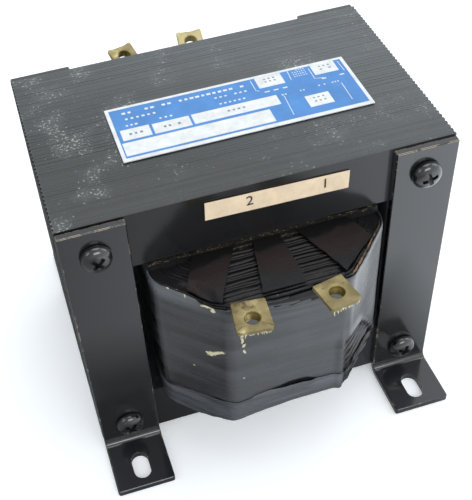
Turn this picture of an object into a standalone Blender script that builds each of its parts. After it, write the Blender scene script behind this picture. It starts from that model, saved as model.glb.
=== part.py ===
"""Open core-and-coil control transformer: interleaved E and I laminations, a layer-wound coil on
the centre leg, four bent foot brackets, through screws and brass terminal lugs.

Metres, +Z up. X runs along the width of the laminations, Y through the stack and Z up the legs.
The origin is on the floor plane, below the middle of the core. The side with the label faces -Y.
"""
import math

import bmesh
import bpy
from mathutils import Matrix, Vector

# Fits between pieces
SEAT_GAP = 0.0003
RING_GAP = 0.00035
CORE_CLEARANCE = 0.0004
HOLE_CLEARANCE = 0.00045

# Laminations: E and I shapes of one scrapless punching, stacked in interleaved packets
TONGUE_WIDTH = 0.04445
WINDOW_WIDTH = 0.022225
WINDOW_HEIGHT = 0.066675
OUTER_LEG_WIDTH = 0.022225
YOKE_HEIGHT = 0.022225
STACK_DEPTH = 0.08375
PACKET_COUNT = 6
CORE_LIFT = 0.0024

# Foot brackets of bent strip
BRACKET_WIDTH = 0.0219
BRACKET_THICKNESS = 0.00265
BRACKET_EDGE_INSET = 0.00016
BRACKET_TOP_DROP = 0.0006
BRACKET_BEND_RADIUS = 0.0022
BRACKET_EDGE_BREAK = 0.0003
FOOT_REACH = 0.02466
FOOT_CORNER_RADIUS = 0.0012
FOOT_SLOT_WIDTH = 0.0064
FOOT_SLOT_LENGTH = 0.0114
FOOT_SLOT_INSET = 0.0091

# Through screws with lock washers and hexagon nuts
SCREW_DIAMETER = 0.0055
SCREW_HEAD_DIAMETER = 0.0104
SCREW_HEAD_HEIGHT = 0.0038
SCREW_POINT_LENGTH = 0.0018
WASHER_DIAMETER = 0.0099
WASHER_THICKNESS = 0.0014
NUT_ACROSS_FLATS = 0.0111
NUT_THICKNESS = 0.0040
NUT_CHAMFER = math.radians(28.0)

# Coil: tube, wire layers and the papers between them, from the inside out
TUBE_WALL = 0.0016
TUBE_END_GAP = 0.0014
COIL_END_MARGIN = 0.0018
SECONDARY_LAYERS = 2
SECONDARY_WIRE_BUILD = 0.0019
PRIMARY_LAYERS = 3
PRIMARY_WIRE_BUILD = 0.0015
LAYER_PAPER = 0.0004
BARRIER_PAPER = 0.0006
LEAD_INSULATION = 0.0013
WRAP_THICKNESS = 0.0006
FILM_THICKNESS = 0.0004
WIRE_END_STEP = 0.0016
INSULATION_LOWER_EDGE = 0.0018
WRAP_LOWER_EDGE = 0.0030
FILM_LOWER_EDGE = 0.0145

# How the turns leave the square corners of the tube: growth of each corner point of the outline
# for every metre of build along the side
FRONT_BULGE = 1.48
SHOULDER_GROWTH = 0.37
FRONT_FLAT_LOSS = 0.12
TUBE_CORNER_CUT = 0.0012
TUBE_CORNER_RADIUS = 0.0014
SHOULDER_RADIUS_GROWTH = 0.5
FRONT_RADIUS_GROWTH = 0.3

# Terminal lugs: a tail between the windings and the wrap, and a tongue over the rim
LUG_WIDTH = 0.011
LUG_THICKNESS = 0.0016
LUG_SINK = 0.0013
LUG_TAIL = 0.014
LUG_TAIL_WIDTH = 0.005
LUG_HOLE_DIAMETER = 0.0047
LUG_HOLE_INSET = 0.0055
LUG_BEND_RADIUS = 0.0006
FRONT_LUG_PITCH = 0.028
FRONT_LUG_SHIFT = -0.001
FRONT_LUG_REACH = 0.0116
FRONT_LUG_TURNS = {"left": math.radians(-5.5), "right": math.radians(6.0)}
REAR_LUG_PITCH = 0.0253
REAR_LUG_SHIFT = -0.0041
REAR_LUG_REACH = 0.0113
REAR_LUG_TURNS = {"left": math.radians(-14.0), "right": math.radians(5.0)}
REAR_LUG_TILT = math.radians(22.0)
REAR_LUG_TIP_WIDTH = 0.0103
REAR_LUG_HOLLOW = 0.0008

# Tape strips over the layer ends
TAPE_THICKNESS = 0.0004
TAPE_SIDE_WIDTHS = {"left": 0.0125, "right": 0.0180}
TAPE_INNER_SPANS = {"left": (-0.0250, -0.0105), "middle": (-0.0043, 0.0053), "right": (0.0110, 0.0290)}
TAPE_LUG_MARGIN = 0.0012
TAPE_RIM_MARGIN = 0.0016

# Nameplate on the top yoke and paper label on the front yoke
PLATE_LENGTH = 0.0875
PLATE_WIDTH = 0.0294
PLATE_THICKNESS = 0.0005
PLATE_SHIFT_X = 0.005
PLATE_SHIFT_Y = -0.0034
PLATE_CORNER_RADIUS = 0.0008
LABEL_LENGTH = 0.0487
LABEL_HEIGHT = 0.0072
LABEL_THICKNESS = 0.0002
LABEL_SHIFT_X = 0.0051
LABEL_TOP_MARGIN = 0.0034
LABEL_TILT = math.radians(1.5)

# Facets of round forms; a slot's ends stop just short of half circles, so that no points coincide
ROUND_SEGMENTS = 20
HOLE_SEGMENTS = 16
CORNER_SEGMENTS = 4
BEND_SEGMENTS = 5
DOME_SEGMENTS = 5
NUT_SEGMENTS = 24
NUT_FACE_SHARE = 0.97
TIP_SEGMENTS = 6
SLOT_END_SHARE = 0.999
SMOOTH_ANGLE = math.radians(35.0)
BREAK_ANGLE = math.radians(50.0)
SAME_POINT = 0.000001

# Sizes that follow
CORE_WIDTH = TONGUE_WIDTH + 2 * WINDOW_WIDTH + 2 * OUTER_LEG_WIDTH
CORE_HEIGHT = WINDOW_HEIGHT + 2 * YOKE_HEIGHT
CORE_TOP = CORE_LIFT + CORE_HEIGHT
CORE_MIDDLE = CORE_LIFT + CORE_HEIGHT / 2
WINDOW_BOTTOM = CORE_LIFT + YOKE_HEIGHT
WINDOW_TOP = WINDOW_BOTTOM + WINDOW_HEIGHT
CORE_FACE = STACK_DEPTH / 2
SCREW_X = CORE_WIDTH / 2 - OUTER_LEG_WIDTH / 2
SCREW_OFFSET_Z = CORE_HEIGHT / 2 - YOKE_HEIGHT / 2
BRACKET_X = CORE_WIDTH / 2 - BRACKET_EDGE_INSET - BRACKET_WIDTH / 2
COIL_BOTTOM = WINDOW_BOTTOM + COIL_END_MARGIN
COIL_TOP = WINDOW_TOP - COIL_END_MARGIN
TUBE_HALF_X = TONGUE_WIDTH / 2 + CORE_CLEARANCE + TUBE_WALL
TUBE_HALF_Y = CORE_FACE + CORE_CLEARANCE + TUBE_WALL


def clear_scene():
    for item in list(bpy.data.objects):
        bpy.data.objects.remove(item, do_unlink=True)


def finish_material(name, colour, metallic, roughness):
    material = bpy.data.materials.new(name)
    material.use_nodes = True
    shader = material.node_tree.nodes["Principled BSDF"]
    shader.inputs["Base Color"].default_value = (*colour, 1.0)
    shader.inputs["Metallic"].default_value = metallic
    shader.inputs["Roughness"].default_value = roughness
    material.diffuse_color = (*colour, 1.0)
    return material


def mesh_from(name, bm, smooth=False):
    """Turn a bmesh into a mesh with its faces pointing out."""
    bmesh.ops.recalc_face_normals(bm, faces=bm.faces)
    mesh = bpy.data.meshes.new(name)
    bm.to_mesh(mesh)
    bm.free()
    if smooth:
        mesh.shade_smooth()
        mesh.set_sharp_from_angle(angle=SMOOTH_ANGLE)
    return mesh


def place(name, mesh, material, location=(0, 0, 0), turn=0.0, roll=0.0, lean=0.0):
    """Add an object that shows a mesh: turned about Z, rolled about Y or leaned about X."""
    item = bpy.data.objects.new(name, mesh)
    item.location = location
    item.rotation_euler = (lean, roll, turn)
    if material and not mesh.materials:
        mesh.materials.append(material)
    bpy.context.scene.collection.objects.link(item)
    return item


def combine(item, guide, operation):
    """Combine an object with a guide body and keep the guide out of renders."""
    guide.hide_render = True
    guide.display_type = "WIRE"
    boolean = item.modifiers.new("with_" + guide.name, "BOOLEAN")
    boolean.operation = operation
    boolean.solver = "EXACT"
    boolean.object = guide


def cut(item, cutter):
    combine(item, cutter, "DIFFERENCE")


def circle(centre, radius, segments):
    return [(centre[0] + radius * math.cos(2 * math.pi * i / segments),
             centre[1] + radius * math.sin(2 * math.pi * i / segments)) for i in range(segments)]


def rectangle(low, high):
    return [(low[0], low[1]), (high[0], low[1]), (high[0], high[1]), (low[0], high[1])]


def rounded(corners, radii, segments=CORNER_SEGMENTS):
    """Round the corners of a polygon, each with its own radius, by tangent arcs."""
    points = []
    count = len(corners)
    for i, corner in enumerate(corners):
        here = Vector(corner)
        before = (Vector(corners[i - 1]) - here).normalized()
        after = (Vector(corners[(i + 1) % count]) - here).normalized()
        half = before.angle(after) / 2
        if radii[i] <= 0:
            points.append(tuple(here))
            continue
        tangent = radii[i] / math.tan(half)
        centre = here + (before + after).normalized() * (radii[i] / math.sin(half))
        start = here + before * tangent - centre
        sweep = start.angle_signed(here + after * tangent - centre)
        for step in range(segments + 1):
            turned = Matrix.Rotation(-sweep * step / segments, 2) @ start
            points.append(tuple(centre + turned))
    return points


def slot_outline(centre, width, length, segments=HOLE_SEGMENTS):
    """A slot with round ends, long along its second coordinate."""
    corners = rectangle((centre[0] - width / 2, centre[1] - length / 2),
                        (centre[0] + width / 2, centre[1] + length / 2))
    return rounded(corners, [width / 2 * SLOT_END_SHARE] * 4, segments // 4)


def add_prism(bm, outline, low, high, plane, holes=()):
    """Extrude an outline with holes from low to high along the axis normal to its plane."""
    lift = {"XY": lambda u, v, w: (u, v, w), "XZ": lambda u, v, w: (u, w, v),
            "YZ": lambda u, v, w: (w, u, v)}[plane]
    edges = []
    for loop in (outline, *holes):
        verts = [bm.verts.new(lift(u, v, low)) for u, v in loop]
        edges += [bm.edges.new((verts[i - 1], verts[i])) for i in range(len(verts))]
    if holes:
        filled = bmesh.ops.triangle_fill(bm, use_beauty=True, edges=edges)["geom"]
        faces = [part for part in filled if isinstance(part, bmesh.types.BMFace)]
    else:
        faces = [bm.faces.new(verts)]
    raised = bmesh.ops.extrude_face_region(bm, geom=faces)["geom"]
    moved = [part for part in raised if isinstance(part, bmesh.types.BMVert)]
    bmesh.ops.translate(bm, verts=moved, vec=lift(0, 0, high - low))


def add_closed_skin(bm, rings):
    """Faces between rings of points, each ring joined to the next and the last to the first."""
    loops = [[bm.verts.new(point) for point in ring] for ring in rings]
    for first, second in zip(loops, loops[1:] + loops[:1]):
        for i in range(len(first)):
            bm.faces.new((first[i - 1], first[i], second[i], second[i - 1]))


def prism_mesh(name, outline, low, high, plane, holes=()):
    bm = bmesh.new()
    add_prism(bm, outline, low, high, plane, holes)
    return mesh_from(name, bm)


def turned_mesh(name, profile, segments=ROUND_SEGMENTS):
    """Revolve a profile of (radius, along) points about Y; points on the axis close the ends."""
    bm = bmesh.new()
    verts = [bm.verts.new((radius, along, 0)) for radius, along in profile]
    edges = [bm.edges.new(pair) for pair in zip(verts, verts[1:])]
    bmesh.ops.spin(bm, geom=verts + edges, cent=(0, 0, 0), axis=(0, 1, 0), angle=2 * math.pi,
                   steps=segments, use_merge=True)
    bmesh.ops.remove_doubles(bm, verts=bm.verts, dist=SAME_POINT)
    return mesh_from(name, bm, smooth=True)


def nut_mesh(low, high, bore_radius):
    """Hexagon nut with a round bore, its corners turned down at both ends."""
    flat = NUT_ACROSS_FLATS / 2
    face_radius = flat * NUT_FACE_SHARE
    around = [2 * math.pi * i / NUT_SEGMENTS for i in range(NUT_SEGMENTS)]
    reach = [flat / math.cos(angle % (math.pi / 3) - math.pi / 6) for angle in around]
    falls = [(radius - face_radius) * math.tan(NUT_CHAMFER) for radius in reach]
    level = [0] * NUT_SEGMENTS
    bore = [bore_radius] * NUT_SEGMENTS
    face = [face_radius] * NUT_SEGMENTS
    rings = []
    for radii, offsets, end, way in ((bore, level, low, 1), (face, level, low, 1), (reach, falls, low, 1),
                                     (reach, falls, high, -1), (face, level, high, -1),
                                     (bore, level, high, -1)):
        rings.append([(radius * math.cos(angle), end + way * fall, radius * math.sin(angle))
                      for angle, radius, fall in zip(around, radii, offsets)])
    bm = bmesh.new()
    add_closed_skin(bm, rings)
    return mesh_from("nut", bm)


def screw_places():
    """Name, x and height above the core's middle of the four through screws."""
    for side, across in (("left", -1), ("right", 1)):
        for level, up in (("lower", -1), ("upper", 1)):
            yield side + "_" + level, across * SCREW_X, up * SCREW_OFFSET_Z


def build_core(steel):
    """Packets of E laminations with their I laminations, turned over from packet to packet."""
    half_height = CORE_HEIGHT / 2
    joint = YOKE_HEIGHT - half_height
    yoke_underside = half_height - YOKE_HEIGHT
    half_width = CORE_WIDTH / 2
    leg_inner = half_width - OUTER_LEG_WIDTH
    half_tongue = TONGUE_WIDTH / 2
    right_half = [(half_width, half_height), (half_width, joint), (leg_inner, joint),
                  (leg_inner, yoke_underside), (half_tongue, yoke_underside), (half_tongue, joint)]
    e_outline = right_half + [(-x, z) for x, z in reversed(right_half)]
    i_outline = rectangle((-half_width, -half_height), (half_width, joint - SEAT_GAP))
    hole_radius = SCREW_DIAMETER / 2 + HOLE_CLEARANCE
    e_holes = [circle((x, SCREW_OFFSET_Z), hole_radius, HOLE_SEGMENTS) for x in (-SCREW_X, SCREW_X)]
    i_holes = [circle((x, -SCREW_OFFSET_Z), hole_radius, HOLE_SEGMENTS) for x in (-SCREW_X, SCREW_X)]
    pitch = (STACK_DEPTH + SEAT_GAP) / PACKET_COUNT
    half_packet = (pitch - SEAT_GAP) / 2
    e_mesh = prism_mesh("e_packet", e_outline, -half_packet, half_packet, "XZ", e_holes)
    i_mesh = prism_mesh("i_packet", i_outline, -half_packet, half_packet, "XZ", i_holes)
    for index in range(PACKET_COUNT):
        centre = (0, (index - (PACKET_COUNT - 1) / 2) * pitch, CORE_MIDDLE)
        roll = math.pi * (index % 2)
        place(f"e_laminations_{index + 1}", e_mesh, steel, centre, roll=roll)
        place(f"i_laminations_{index + 1}", i_mesh, steel, centre, roll=roll)


def bracket_mesh():
    """The bent strip as seen from its side, extruded across its width; back face on y = 0."""
    outer = BRACKET_BEND_RADIUS + BRACKET_THICKNESS
    top = CORE_TOP - BRACKET_TOP_DROP
    corners = [(0, top), (-BRACKET_THICKNESS, top), (-BRACKET_THICKNESS, BRACKET_THICKNESS),
               (-FOOT_REACH, BRACKET_THICKNESS), (-FOOT_REACH, 0), (0, 0)]
    radii = [0, 0, BRACKET_BEND_RADIUS, 0, 0, outer]
    profile = rounded(corners, radii, BEND_SEGMENTS)
    return prism_mesh("bracket", profile, -BRACKET_WIDTH / 2, BRACKET_WIDTH / 2, "YZ")


def bracket_cutter_mesh():
    """Two screw holes, the foot slot and the rounding of the two free foot corners."""
    bm = bmesh.new()
    past = 2 * BRACKET_THICKNESS
    hole_x = SCREW_X - BRACKET_X
    for up in (-1, 1):
        hole = circle((hole_x, CORE_MIDDLE + up * SCREW_OFFSET_Z),
                      SCREW_DIAMETER / 2 + HOLE_CLEARANCE, HOLE_SEGMENTS)
        add_prism(bm, hole, -past, past, "XZ")
    slot = slot_outline((0, FOOT_SLOT_INSET - FOOT_REACH), FOOT_SLOT_WIDTH, FOOT_SLOT_LENGTH)
    add_prism(bm, slot, -past, past, "XY")
    for side in (-1, 1):
        corner = (side * BRACKET_WIDTH / 2, -FOOT_REACH)
        radius = FOOT_CORNER_RADIUS
        arc = [(corner[0] - side * radius * (1 - math.sin(angle)),
                corner[1] + radius * (1 - math.cos(angle)))
               for angle in [math.pi / 2 * step / CORNER_SEGMENTS for step in range(CORNER_SEGMENTS + 1)]]
        spare = [(corner[0] + side * radius, corner[1] + radius),
                 (corner[0] + side * radius, corner[1] - radius),
                 (corner[0] - side * radius, corner[1] - radius)]
        add_prism(bm, arc + spare, -past, past, "XY")
    return mesh_from("bracket_cuts", bm)


def build_brackets(enamel):
    strip = bracket_mesh()
    cuts = bracket_cutter_mesh()
    face = CORE_FACE + SEAT_GAP
    for end, turn, y in (("front", 0.0, -face), ("rear", math.pi, face)):
        for side, x in (("left", -BRACKET_X), ("right", BRACKET_X)):
            mirrored = (x < 0) != (end == "rear")
            name = f"bracket_{end}_{side}"
            bracket = place(name, strip, enamel, (x, y, 0), turn)
            edge_break = bracket.modifiers.new("edge_break", "BEVEL")
            edge_break.width = BRACKET_EDGE_BREAK
            edge_break.segments = 1
            edge_break.limit_method = "ANGLE"
            edge_break.angle_limit = BREAK_ANGLE
            cutter = place(name + "_cuts", cuts, None, (x, y, 0), turn)
            cutter.scale.x = -1.0 if mirrored else 1.0
            cut(bracket, cutter)


def build_fasteners(zinc):
    """Round-head screws from the front, with a lock washer and a nut behind the rear bracket."""
    front = CORE_FACE + SEAT_GAP + BRACKET_THICKNESS + SEAT_GAP
    washer_y = front
    nut_y = washer_y + WASHER_THICKNESS + SEAT_GAP
    shank_end = nut_y + NUT_THICKNESS + SCREW_POINT_LENGTH
    head_radius = SCREW_HEAD_DIAMETER / 2
    shank_radius = SCREW_DIAMETER / 2
    dome = [(head_radius * math.sin(angle), -front - SCREW_HEAD_HEIGHT * math.cos(angle))
            for angle in [math.pi / 2 * step / DOME_SEGMENTS for step in range(DOME_SEGMENTS + 1)]]
    profile = dome + [(shank_radius, -front), (shank_radius, shank_end), (0, shank_end)]
    screw = turned_mesh("screw", profile)
    bore = circle((0, 0), shank_radius + HOLE_CLEARANCE / 2, HOLE_SEGMENTS)
    washer = prism_mesh("washer", circle((0, 0), WASHER_DIAMETER / 2, HOLE_SEGMENTS),
                        washer_y, washer_y + WASHER_THICKNESS, "XZ", [bore])
    nut = nut_mesh(nut_y, nut_y + NUT_THICKNESS, shank_radius + HOLE_CLEARANCE / 2)
    for name, x, up in screw_places():
        centre = (x, 0, CORE_MIDDLE + up)
        place("screw_" + name, screw, zinc, centre)
        place("lock_washer_" + name, washer, zinc, centre)
        place("nut_" + name, nut, zinc, centre)


def coil_outline(build):
    """Outline of the coil at a distance from the tube's outer face, measured at its side."""
    shoulder = (TUBE_HALF_X + build, TUBE_HALF_Y - TUBE_CORNER_CUT + SHOULDER_GROWTH * build)
    front = (TUBE_HALF_X - TUBE_CORNER_CUT - FRONT_FLAT_LOSS * build, TUBE_HALF_Y + FRONT_BULGE * build)
    corners = [shoulder, front, (-front[0], front[1]), (-shoulder[0], shoulder[1])]
    corners += [(-x, -y) for x, y in corners]
    shoulder_radius = TUBE_CORNER_RADIUS + SHOULDER_RADIUS_GROWTH * build
    front_radius = TUBE_CORNER_RADIUS + FRONT_RADIUS_GROWTH * build
    radii = [shoulder_radius, front_radius, front_radius, shoulder_radius] * 2
    return rounded(corners, radii)


def ring_mesh(name, inner, outer, low, high):
    """A closed sleeve between two outlines that have the same number of points."""
    bm = bmesh.new()
    add_closed_skin(bm, [[(x, y, z) for x, y in outline]
                         for outline, z in ((inner, low), (outer, low), (outer, high), (inner, high))])
    return mesh_from(name, bm)


def coil_layers():
    """Name, material key and thickness of each sleeve, from the tube out."""
    layers = []
    for turn in range(SECONDARY_LAYERS):
        layers.append((f"secondary_layer_{turn + 1}", "wire", SECONDARY_WIRE_BUILD))
        if turn < SECONDARY_LAYERS - 1:
            layers.append((f"secondary_paper_{turn + 1}", "paper", LAYER_PAPER))
    layers.append(("barrier_paper", "paper", BARRIER_PAPER))
    for turn in range(PRIMARY_LAYERS):
        layers.append((f"primary_layer_{turn + 1}", "wire", PRIMARY_WIRE_BUILD))
        if turn < PRIMARY_LAYERS - 1:
            layers.append((f"primary_paper_{turn + 1}", "paper", LAYER_PAPER))
    layers.append(("lead_insulation", "insulation", LEAD_INSULATION))
    layers.append(("outer_wrap", "wrap", WRAP_THICKNESS))
    layers.append(("outer_film", "film", FILM_THICKNESS))
    return layers


def layer_spans():
    """Each layer's material key with the builds of its inner and outer face, by name."""
    spans = {}
    build = RING_GAP
    for name, kind, thickness in coil_layers():
        spans[name] = (kind, build, build + thickness)
        build += thickness + RING_GAP
    return spans


def tube_mesh():
    """A rectangular tube with eased corners that slides over the centre leg."""
    inner = (TUBE_HALF_X - TUBE_WALL, TUBE_HALF_Y - TUBE_WALL)
    bore = rectangle((-inner[0], -inner[1]), inner)
    low = WINDOW_BOTTOM + TUBE_END_GAP
    return prism_mesh("coil_tube", coil_outline(0), low, WINDOW_TOP - TUBE_END_GAP, "XY", [bore])


def rim_points(build):
    """The rear half of a coil outline, from left to right."""
    points = [point for point in coil_outline(build) if point[1] > CORE_FACE]
    return sorted(points)


def rim_height(build, x):
    """How far out in Y the outline lies at x."""
    points = rim_points(build)
    for first, second in zip(points, points[1:]):
        if first[0] <= x <= second[0]:
            return first[1] + (x - first[0]) / (second[0] - first[0]) * (second[1] - first[1])
    return points[0][1]


def tail_build():
    """How far out the middle of a lug's tail lies, between the windings and the wrap."""
    kind, start, end = layer_spans()["lead_insulation"]
    return (start + end) / 2


def lug_seats():
    """Name, end, place of the tail's middle, way out from the tail and way of the tongue."""
    middle = tail_build()
    half_tail = LUG_TAIL_WIDTH / 2
    for end, way, pitch, shift, turns in (("front", -1, FRONT_LUG_PITCH, FRONT_LUG_SHIFT, FRONT_LUG_TURNS),
                                          ("rear", 1, REAR_LUG_PITCH, REAR_LUG_SHIFT, REAR_LUG_TURNS)):
        for side, across in (("left", -1), ("right", 1)):
            x = shift + across * pitch / 2
            left = Vector((x - half_tail, rim_height(middle, x - half_tail)))
            right = Vector((x + half_tail, rim_height(middle, x + half_tail)))
            centre = (left + right) / 2
            chord = (right - left).normalized()
            yield (f"lug_{end}_{side}", end, Vector((centre.x, way * centre.y)),
                   Vector((-chord.y, way * chord.x)),
                   Vector((math.sin(turns[side]), way * math.cos(turns[side]))))


def lug_overhang():
    """From the outer face of a tail to the outer face of the film."""
    return (layer_spans()["outer_film"][2] - tail_build()) * FRONT_BULGE - LUG_THICKNESS / 2


def lug_reach(end):
    """From the outer face of a tail to the tip of its tongue, seen from above."""
    return lug_overhang() + (FRONT_LUG_REACH if end == "front" else REAR_LUG_REACH)


def tongue_mesh(tilt, length):
    """Wide strip that starts with the bend over the tail and runs out along -Y, to be trimmed.

    The origin lies in the middle of the tail's thickness, level with the tongue's underside.
    """
    thick = LUG_THICKNESS
    out = Vector((-math.cos(tilt), math.sin(tilt)))
    up = Vector((math.sin(tilt), math.cos(tilt))) * thick
    crook = Vector((-thick / 2, 0))
    tip = crook + out * (length + LUG_THICKNESS)
    crown = Vector((thick / 2, thick * (1 - math.sin(tilt)) / math.cos(tilt)))
    corners = [(thick / 2, 0), crown, tip + up, tip, crook]
    profile = rounded(corners, [0, LUG_BEND_RADIUS + thick / 2, 0, 0, 0])
    return prism_mesh("lug", profile, -LUG_WIDTH, LUG_WIDTH, "YZ")


def lug_cutter_mesh(tilt, length, tip_width, hollow):
    """The terminal hole and the surround that trims the tongue, both square to it."""
    bm = bmesh.new()
    tip = -LUG_THICKNESS / 2 - length
    hole = circle((0, tip + LUG_HOLE_INSET), LUG_HOLE_DIAMETER / 2, HOLE_SEGMENTS)
    add_prism(bm, hole, -LUG_THICKNESS, 2 * LUG_THICKNESS, "XY")
    past = 2 * LUG_WIDTH
    steps = [2 * step / TIP_SEGMENTS - 1 for step in range(TIP_SEGMENTS + 1)]
    edge = [(share * tip_width / 2, tip + hollow * (1 - share ** 2)) for share in steps]
    tongue = [(LUG_WIDTH / 2, LUG_THICKNESS), (-LUG_WIDTH / 2, LUG_THICKNESS)] + edge
    surround = rectangle((-past, tip - past), (past, 2 * LUG_THICKNESS))
    add_prism(bm, surround, -2 * LUG_THICKNESS, 3 * LUG_THICKNESS, "XY", [tongue])
    crook = Vector((0, -LUG_THICKNESS / 2, 0))
    bmesh.ops.rotate(bm, verts=bm.verts, cent=crook, matrix=Matrix.Rotation(-tilt, 3, "X"))
    return mesh_from("lug_cuts", bm)


def heading(way):
    """Turn about Z that brings -Y to a direction in plan."""
    return math.atan2(way.x, -way.y)


def build_lugs(brass):
    half = (LUG_TAIL_WIDTH / 2, LUG_THICKNESS / 2)
    tail = prism_mesh("tail", rectangle((-half[0], -half[1]), half), -LUG_TAIL, LUG_BEND_RADIUS / 2, "XY")
    for name, end, centre, outward, reach in lug_seats():
        location = (centre.x, centre.y, COIL_TOP - LUG_SINK)
        tilt, tip_width, hollow = 0.0, LUG_WIDTH, 0.0
        if end == "rear":
            tilt, tip_width, hollow = REAR_LUG_TILT, REAR_LUG_TIP_WIDTH, REAR_LUG_HOLLOW
        length = lug_reach(end) / math.cos(tilt)
        lug = place(name, tongue_mesh(tilt, length), brass, location, heading(reach))
        trim = lug_cutter_mesh(tilt, length, tip_width, hollow)
        cut(lug, place(name + "_cuts", trim, None, location, heading(reach)))
        combine(lug, place(name + "_tail", tail, None, location, heading(outward)), "UNION")


def lug_space_mesh(half_width, inward, outward_reach, low, along_tongue):
    """One block at each lug, from low up past the top of the coil."""
    bm = bmesh.new()
    for *_, centre, outward, reach in lug_seats():
        way = reach if along_tongue else outward
        across = Vector((-way.y, way.x)) * half_width
        inner = centre - way * inward
        outer = centre + way * outward_reach
        block = [tuple(point) for point in (inner - across, outer - across, outer + across, inner + across)]
        add_prism(bm, block, low, WINDOW_TOP, "XY")
    return mesh_from("lug_space", bm)


def notch_sleeves(sleeves):
    """Notches in the upper rims under the tongues, and pockets for the tails."""
    seat = COIL_TOP - LUG_SINK
    notches = place("lug_notches", lug_space_mesh(LUG_WIDTH / 2 + SEAT_GAP, LUG_THICKNESS / 2 + SEAT_GAP,
                                                  lug_reach("front"), seat - SEAT_GAP, True), None)
    pockets = place("lug_pockets", lug_space_mesh(LUG_TAIL_WIDTH / 2 + SEAT_GAP, LUG_THICKNESS,
                                                  LUG_THICKNESS, seat - LUG_TAIL - SEAT_GAP, False), None)
    for name in ("lead_insulation", "outer_wrap", "outer_film"):
        cut(sleeves[name], notches)
    cut(sleeves["lead_insulation"], pockets)


def build_coil(materials):
    """The tube and every wire layer, paper and wrap round it, one sleeve inside the next."""
    place("coil_tube", tube_mesh(), materials["paper"])
    lower_edges = {"wire": WIRE_END_STEP, "insulation": INSULATION_LOWER_EDGE,
                   "wrap": WRAP_LOWER_EDGE, "film": FILM_LOWER_EDGE}
    upper_edges = {"wire": WIRE_END_STEP}
    sleeves = {}
    for name, (kind, start, end) in layer_spans().items():
        low = COIL_BOTTOM + lower_edges.get(kind, 0)
        high = COIL_TOP - upper_edges.get(kind, 0)
        mesh = ring_mesh(name, coil_outline(start), coil_outline(end), low, high)
        sleeves[name] = place(name, mesh, materials[kind])
    notch_sleeves(sleeves)


def rim_walk(build, distance):
    """The point a signed distance along the outline from its middle."""
    points = [point for point in rim_points(build) if (point[0] > 0) == (distance > 0)]
    points.sort(key=lambda point: abs(point[0]))
    here = Vector((0, rim_height(build, 0)))
    left = abs(distance)
    for point in points:
        step = Vector(point) - here
        if step.length >= left:
            return here + step.normalized() * left
        left -= step.length
        here = Vector(point)
    return here


def build_tapes(tape):
    """Three strips at each end of the stack hold the layer ends down, clear of the lugs."""
    rim_build = layer_spans()["outer_wrap"][2] - TAPE_RIM_MARGIN / FRONT_BULGE
    low = COIL_TOP + SEAT_GAP
    start = TUBE_HALF_Y + SEAT_GAP
    for end, way, pitch, shift in (("front", -1, FRONT_LUG_PITCH, FRONT_LUG_SHIFT),
                                   ("rear", 1, REAR_LUG_PITCH, REAR_LUG_SHIFT)):
        beside = LUG_WIDTH / 2 + TAPE_LUG_MARGIN
        lug_left = shift - pitch / 2
        lug_right = shift + pitch / 2
        strips = {"left": (lug_left - beside - TAPE_SIDE_WIDTHS["left"], lug_left - beside),
                  "middle": (lug_left + beside, lug_right - beside),
                  "right": (lug_right + beside, lug_right + beside + TAPE_SIDE_WIDTHS["right"])}
        for side, (first, last) in strips.items():
            outer_first = rim_walk(rim_build, first)
            outer_last = rim_walk(rim_build, last)
            inner_first, inner_last = TAPE_INNER_SPANS[side]
            outline = [(inner_first, way * start), (inner_last, way * start),
                       (outer_last.x, way * outer_last.y), (outer_first.x, way * outer_first.y)]
            mesh = prism_mesh("tape", outline, low, low + TAPE_THICKNESS, "XY")
            place(f"end_tape_{end}_{side}", mesh, tape)


def build_plates(metal, paper):
    half = (PLATE_LENGTH / 2, PLATE_WIDTH / 2)
    outline = rounded(rectangle((-half[0], -half[1]), half), [PLATE_CORNER_RADIUS] * 4)
    plate = prism_mesh("nameplate", outline, 0, PLATE_THICKNESS, "XY")
    place("nameplate", plate, metal, (PLATE_SHIFT_X, PLATE_SHIFT_Y, CORE_TOP + SEAT_GAP))
    half = (LABEL_LENGTH / 2, LABEL_HEIGHT / 2)
    label = prism_mesh("label", rectangle((-half[0], -half[1]), half), 0, LABEL_THICKNESS, "XZ")
    height = CORE_TOP - LABEL_TOP_MARGIN - LABEL_HEIGHT / 2
    y = -CORE_FACE - SEAT_GAP - LABEL_THICKNESS
    place("terminal_label", label, paper, (LABEL_SHIFT_X, y, height), roll=LABEL_TILT)


def main():
    clear_scene()
    steel = finish_material("varnished steel", (0.03, 0.03, 0.033), 0.4, 0.4)
    enamel = finish_material("black enamel", (0.012, 0.012, 0.013), 0.0, 0.25)
    blackened = finish_material("painted screw", (0.015, 0.015, 0.016), 0.3, 0.3)
    brass = finish_material("brass", (0.55, 0.42, 0.17), 1.0, 0.4)
    plate_blue = finish_material("blue plate", (0.02, 0.12, 0.42), 0.3, 0.4)
    label_paper = finish_material("label paper", (0.85, 0.62, 0.45), 0.0, 0.8)
    tape = finish_material("varnished tape", (0.03, 0.02, 0.015), 0.0, 0.6)
    coil = {"wire": finish_material("varnished wire", (0.05, 0.025, 0.012), 0.3, 0.4),
            "paper": finish_material("kraft paper", (0.12, 0.07, 0.03), 0.0, 0.8),
            "insulation": finish_material("pressboard", (0.10, 0.06, 0.03), 0.0, 0.8),
            "wrap": finish_material("black wrap", (0.02, 0.02, 0.022), 0.0, 0.4),
            "film": finish_material("black film", (0.02, 0.02, 0.022), 0.0, 0.25)}
    build_core(steel)
    build_brackets(enamel)
    build_fasteners(blackened)
    build_coil(coil)
    build_lugs(brass)
    build_tapes(tape)
    build_plates(plate_blue, label_paper)


main()
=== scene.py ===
"""Looks of an open control transformer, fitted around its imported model."""

import math

import bmesh
import bpy
from bpy.props import FloatProperty, FloatVectorProperty, IntProperty, PointerProperty
from bpy.types import Operator, Panel, PropertyGroup
from mathutils import Matrix, Vector, noise


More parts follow.
